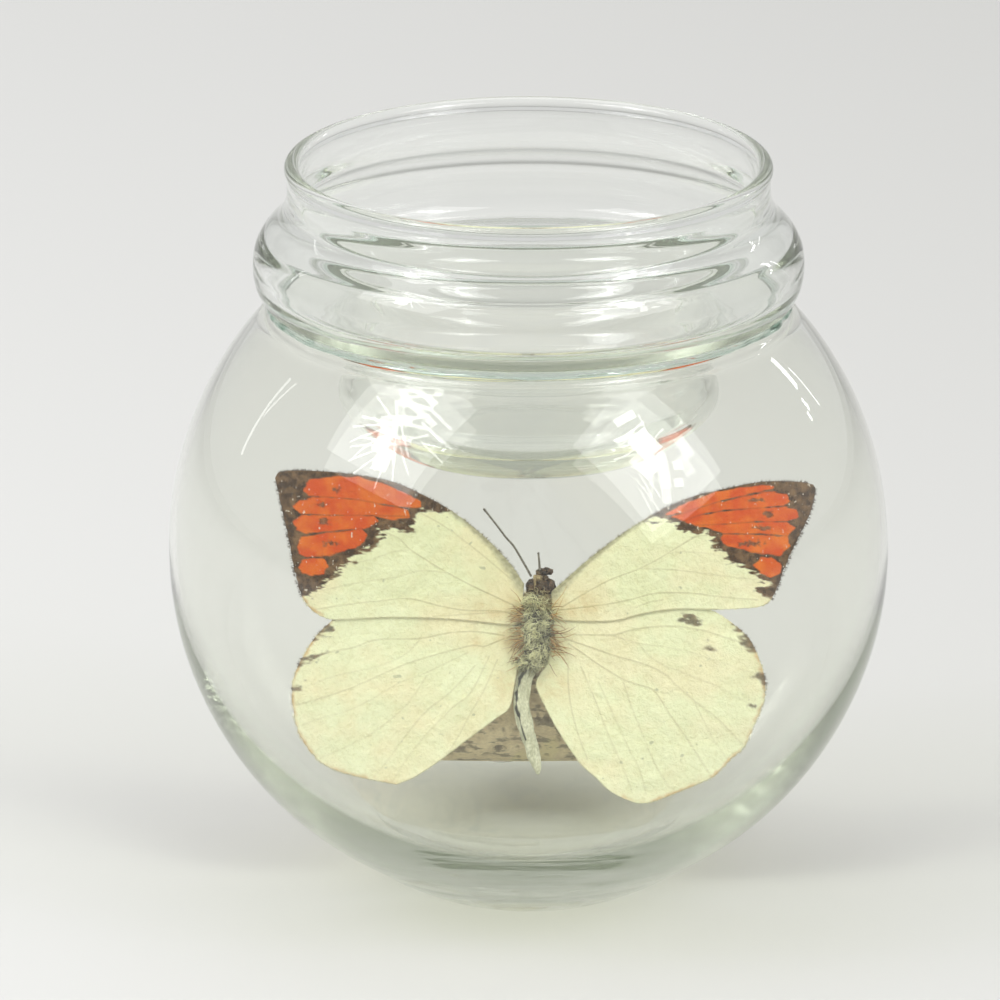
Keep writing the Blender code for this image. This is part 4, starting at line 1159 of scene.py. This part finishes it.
# fringe of a wing: hairs leave its margin outwards in the sheet, darker where the margin is dark
def wingFringe(name, look, lift, h):
    dice = np.random.default_rng(len(name) + h["seed"])
    roots, ways, tones = [], [], []
    middle = np.mean(look["outer"] + look["front"] + look["hind"], axis=0)
    for key, speckle in (("front", 0.15), ("outer", 0.5), ("hind", 0.15)):
        line = smoothLine(look[key], 400)
        span = np.linalg.norm(np.diff(line, axis=0), axis=1).sum()
        at = np.sort(dice.uniform(0.03, 0.98, int(span * h["fringeDensity"])))
        spot, run = (
            np.stack([np.interp(at, np.linspace(0, 1, 400), part[:, k]) for k in (0, 1)], 1)
            for part in (line, np.gradient(line, axis=0))
        )
        out = np.stack([run[:, 1], -run[:, 0]], 1)
        out /= np.linalg.norm(out, axis=1)[:, None]
        out *= np.sign(np.sum(out * (spot - middle), axis=1))[:, None]
        masks = wingMasks(spot - 0.25 * out, look)
        dark = np.maximum(masks["dark"] + masks["orange"], 0.8 * masks["costa"])
        tones.append(np.clip(1 - dark - speckle * dice.random(len(at)), 0, 1))
        roots.append(spot - 0.15 * out)
        ways.append(out + dice.normal(0, 0.3, out.shape))
    roots, ways, tones = np.vstack(roots), np.vstack(ways), np.concatenate(tones)
    ends = []
    for points in (roots, roots + 0.01 * ways):
        x, z = behindGlass(points[:, 0], points[:, 1])
        ends.append(leanBack(np.stack([x, wingDepth(x, z, lift) - 0.05, z], -1)))
    n = len(roots)
    lengths = h["fringeLength"] * dice.uniform(0.45, 1.15, n) * np.where(tones < 0.5, 1.0, 0.7)
    bends = dice.normal(0, 0.15, (n, 3))
    widths = h["fringeWidth"] * dice.uniform(0.7, 1.3, n)
    return fibrePiece(name, ends[0], ends[1] - ends[0], bends, lengths, widths, tones, 3)


# each hair's own shade picks its colour between the darkest and the palest of its kind
def hairMaterial(name):
    s = Shade(name)
    s.paint(s.mix(s.mask("tone"), *hair[name]), 0.7, {"Sheen Weight": 0.3})
    return s.material


for make, colour in (
    (thoraxHair, "paleHair"), (underHair, "darkHair"), (collarHair, "tanHair"), (rootHair, "rustHair"),
):
    settle(make(hair), hairMaterial(colour), "butterfly_body")
fringeHair = hairMaterial("fringeHair")
for label, look, lift, node in wings:
    settle(wingFringe(label + "Fringe", look, lift, hair), fringeHair, node)
print("hair done")


studio = {
    # painted shade: the floor's colour darkens from left to right
    "floorRings": (0.1, 0.3, 1.0, 7.0), "floorTurns": 96, "floorShadeFade": (-0.15, 0.2),
    "floorLeft": (0.65, 0.65, 0.64), "floorRightShade": (0.555, 0.555, 0.54),
    # the room is darker low down in front than it is behind and above
    "room": (0.52, 0.52, 0.515), "sky": (0.66, 0.66, 0.655), "skyStrength": 1.0,
    "frontFade": (-0.35, 0.1), "heightFade": (0.25, 0.6),
    # direction towards each light, its distance, and its panes: place across and up, width, height,
    # turn in degrees, power; the front panes are torn into strips, as in a crumpled reflector
    "lights": [
        ((-0.63, -0.29, 0.72), 1.3, [
            (0.06, -0.15, 0.12, 0.20, 12, 0.935), (0.05, -0.02, 0.24, 0.07, 30, 0.44),
            (-0.06, -0.08, 0.30, 0.016, 15, 0.138), (-0.07, -0.12, 0.34, 0.014, 28, 0.138),
            (-0.04, -0.16, 0.36, 0.014, 44, 0.138), (0.0, -0.2, 0.34, 0.014, 62, 0.138),
            (0.10, -0.2, 0.34, 0.014, 100, 0.138), (0.15, -0.14, 0.30, 0.014, 122, 0.121),
            (0.18, -0.08, 0.30, 0.014, 145, 0.121), (0.13, 0.04, 0.26, 0.02, 48, 0.165),
            (-0.08, 0.0, 0.28, 0.014, -14, 0.121), (-0.04, 0.06, 0.22, 0.014, -38, 0.11),
            (0.02, 0.23, 0.36, 0.05, -4, 0.55), (-0.06, 0.15, 0.24, 0.05, -30, 0.275),
            (0.08, 0.13, 0.26, 0.03, 22, 0.22), (-0.13, 0.12, 0.16, 0.10, 8, 0.138),
            (0.30, 0.17, 0.26, 0.025, -3, 0.165), (0.33, 0.06, 0.24, 0.015, -6, 0.099),
            (0.06, 0.0, 0.8, 0.8, 0, 4.7),
        ]),
        ((0.56, -0.50, 0.66), 1.3, [
            (0.03, 0.00, 0.17, 0.18, 20, 1.3), (0.0, 0.22, 0.17, 0.06, 4, 0.4),
            (0.08, -0.20, 0.07, 0.24, -14, 0.4), (-0.16, -0.04, 0.10, 0.26, 8, 0.225),
            (-0.10, -0.20, 0.016, 0.30, 6, 0.1), (-0.06, -0.22, 0.012, 0.30, 14, 0.08),
            (0.02, -0.12, 0.014, 0.34, -30, 0.1), (0.30, -0.10, 0.09, 0.15, 12, 0.275),
            (0.19, -0.20, 0.07, 0.06, -8, 0.125), (0.31, -0.27, 0.20, 0.15, 14, 0.175),
            (0.0, 0.12, 0.24, 0.016, 14, 0.125), (-0.05, 0.09, 0.24, 0.014, -10, 0.1),
            (0.09, 0.10, 0.014, 0.22, -8, 0.08), (0.13, 0.02, 0.20, 0.014, 24, 0.08),
            (-0.02, -0.06, 0.30, 0.02, -52, 0.125), (0.04, -0.05, 0.75, 0.85, 20, 4.9),
        ]),
        ((0.78, 0.57, 0.26), 1.6, [
            (0.02, 0.16, 0.05, 0.22, -4, 0.35), (-0.04, -0.02, 0.03, 0.07, 10, 0.06),
            (-0.09, -0.06, 0.03, 0.05, 0, 0.04), (0.12, -0.02, 0.012, 0.26, 6, 0.07),
        ]),
        ((-0.86, 0.43, 0.28), 1.6, [(0.0, 0.05, 0.03, 0.5, 6, 0.15), (0.05, 0.2, 0.02, 0.3, -8, 0.06)]),
        ((-0.1, 0.5, 1.2), 1.6, [(0.0, 0.0, 1.0, 1.0, 0, 4.4)]),
    ],
    # the first two lights are seen through the glass as well
    "seenThrough": 2,
}


# flat disc of rings round the ball's foot, with painted shade making it a little darker to the right
def layFloor(s):
    turns, count = s["floorTurns"], len(s["floorRings"])
    a = np.linspace(0, math.tau, turns, endpoint=False)
    circle = np.stack([np.cos(a), np.sin(a), np.zeros_like(a)], 1)
    corners = np.vstack([q * circle for q in s["floorRings"]] + [np.zeros((1, 3))])
    k = np.arange(turns)
    fan = np.stack([np.full(turns, turns * count), k, (k + 1) % turns], 1)
    mesh = bpy.data.meshes.new("floor")
    mesh.from_pydata(corners.tolist(), [], gridQuads(count, turns)[:, ::-1].tolist() + fan.tolist())
    piece = bpy.data.objects.new("floor", mesh)
    bpy.context.collection.objects.link(piece)
    shade = Shade("paleCloth")
    across = shade.node("ShaderNodeSeparateXYZ", {0: shade.place()}).outputs["X"]
    # painted shade: darker towards the right
    tone = shade.mix(shade.ramp(across, *s["floorShadeFade"]), s["floorLeft"], s["floorRightShade"])
    shade.paint(tone, 1.0, {"Specular IOR Level": 0.0})
    mesh.materials.append(shade.material)


# brightness = room + (sky - room) * the larger of two ramps, one towards the back, one upwards
def lightRoom(s):
    world = bpy.data.worlds.new("studio")
    bpy.context.scene.world = world
    world.use_nodes = True
    tree = world.node_tree
    coords = addNode(tree, "ShaderNodeTexCoord").outputs["Generated"]
    apart = addNode(tree, "ShaderNodeSeparateXYZ", {0: coords}).outputs
    spans = []
    for axis, (low, high) in (("Y", s["frontFade"]), ("Z", s["heightFade"])):
        values = {"Value": apart[axis], "From Min": low, "From Max": high}
        spans.append(addNode(tree, "ShaderNodeMapRange", values).outputs["Result"])
    larger = addNode(tree, "ShaderNodeMath", {0: spans[0], 1: spans[1]}, operation="MAXIMUM").outputs[0]
    blend = addNode(tree, "ShaderNodeMix", {0: larger, 6: s["room"], 7: s["sky"]}, data_type="RGBA")
    fillNode(tree.nodes["Background"], {"Color": blend.outputs[2], "Strength": s["skyStrength"]})


# panes lie in the plane square to their light's direction from the ball's middle, and face the ball
def hangLights(s):
    middle = np.array([0, 0, ballMiddle * mm])
    for number, (way, distance, panes) in enumerate(s["lights"]):
        z = np.array(way) / np.linalg.norm(way)
        x = np.cross([0, 0, 1], z)
        x /= np.linalg.norm(x)
        y = np.cross(z, x)
        for part, (across, up, width, height, turn, power) in enumerate(panes):
            name = f"window{number}Pane{part}"
            data = bpy.data.lights.new(name, "AREA")
            data.shape, data.size, data.size_y, data.energy = "RECTANGLE", width, height, power
            lamp = bpy.data.objects.new(name, data)
            bpy.context.collection.objects.link(lamp)
            lamp.location = middle + z * distance + x * across + y * up
            lamp.visible_transmission = number < s["seenThrough"]
            c, k = math.cos(math.radians(turn)), math.sin(math.radians(turn))
            u, v = c * x + k * y, c * y - k * x
            lamp.rotation_euler = Matrix([[u[i], v[i], z[i]] for i in range(3)]).to_euler()


view = {"elevation": 17.2, "distance": 2.5, "lens": 563.4, "sensor": 36.0, "across": -4.55, "up": 7.19}


# camera looks from the front at the given height angle; the aim point is moved across and up
def placeCamera(c):
    e = math.radians(c["elevation"])
    toward, up = Vector((0, -math.cos(e), math.sin(e))), Vector((0, math.sin(e), math.cos(e)))
    aim = Vector((c["across"], 0, ballMiddle)) * mm + up * c["up"] * mm
    data = bpy.data.cameras.new("camera")
    data.lens, data.sensor_width = c["lens"], c["sensor"]
    data.clip_start, data.clip_end = 0.05, 60.0
    camera = bpy.data.objects.new("camera", data)
    bpy.context.collection.objects.link(camera)
    camera.location = aim + toward * c["distance"]
    camera.rotation_euler = (-toward).to_track_quat("-Z", "Y").to_euler()
    bpy.context.scene.camera = camera


layFloor(studio)
lightRoom(studio)
hangLights(studio)
placeCamera(view)

scene = bpy.context.scene
scene.view_settings.view_transform = "Standard"
scene.cycles.max_bounces = 80
scene.cycles.transmission_bounces = 64
scene.cycles.glossy_bounces = 64
scene.cycles.diffuse_bounces = 3
scene.cycles.transparent_max_bounces = 24
scene.cycles.use_denoising = True
print("stage done")
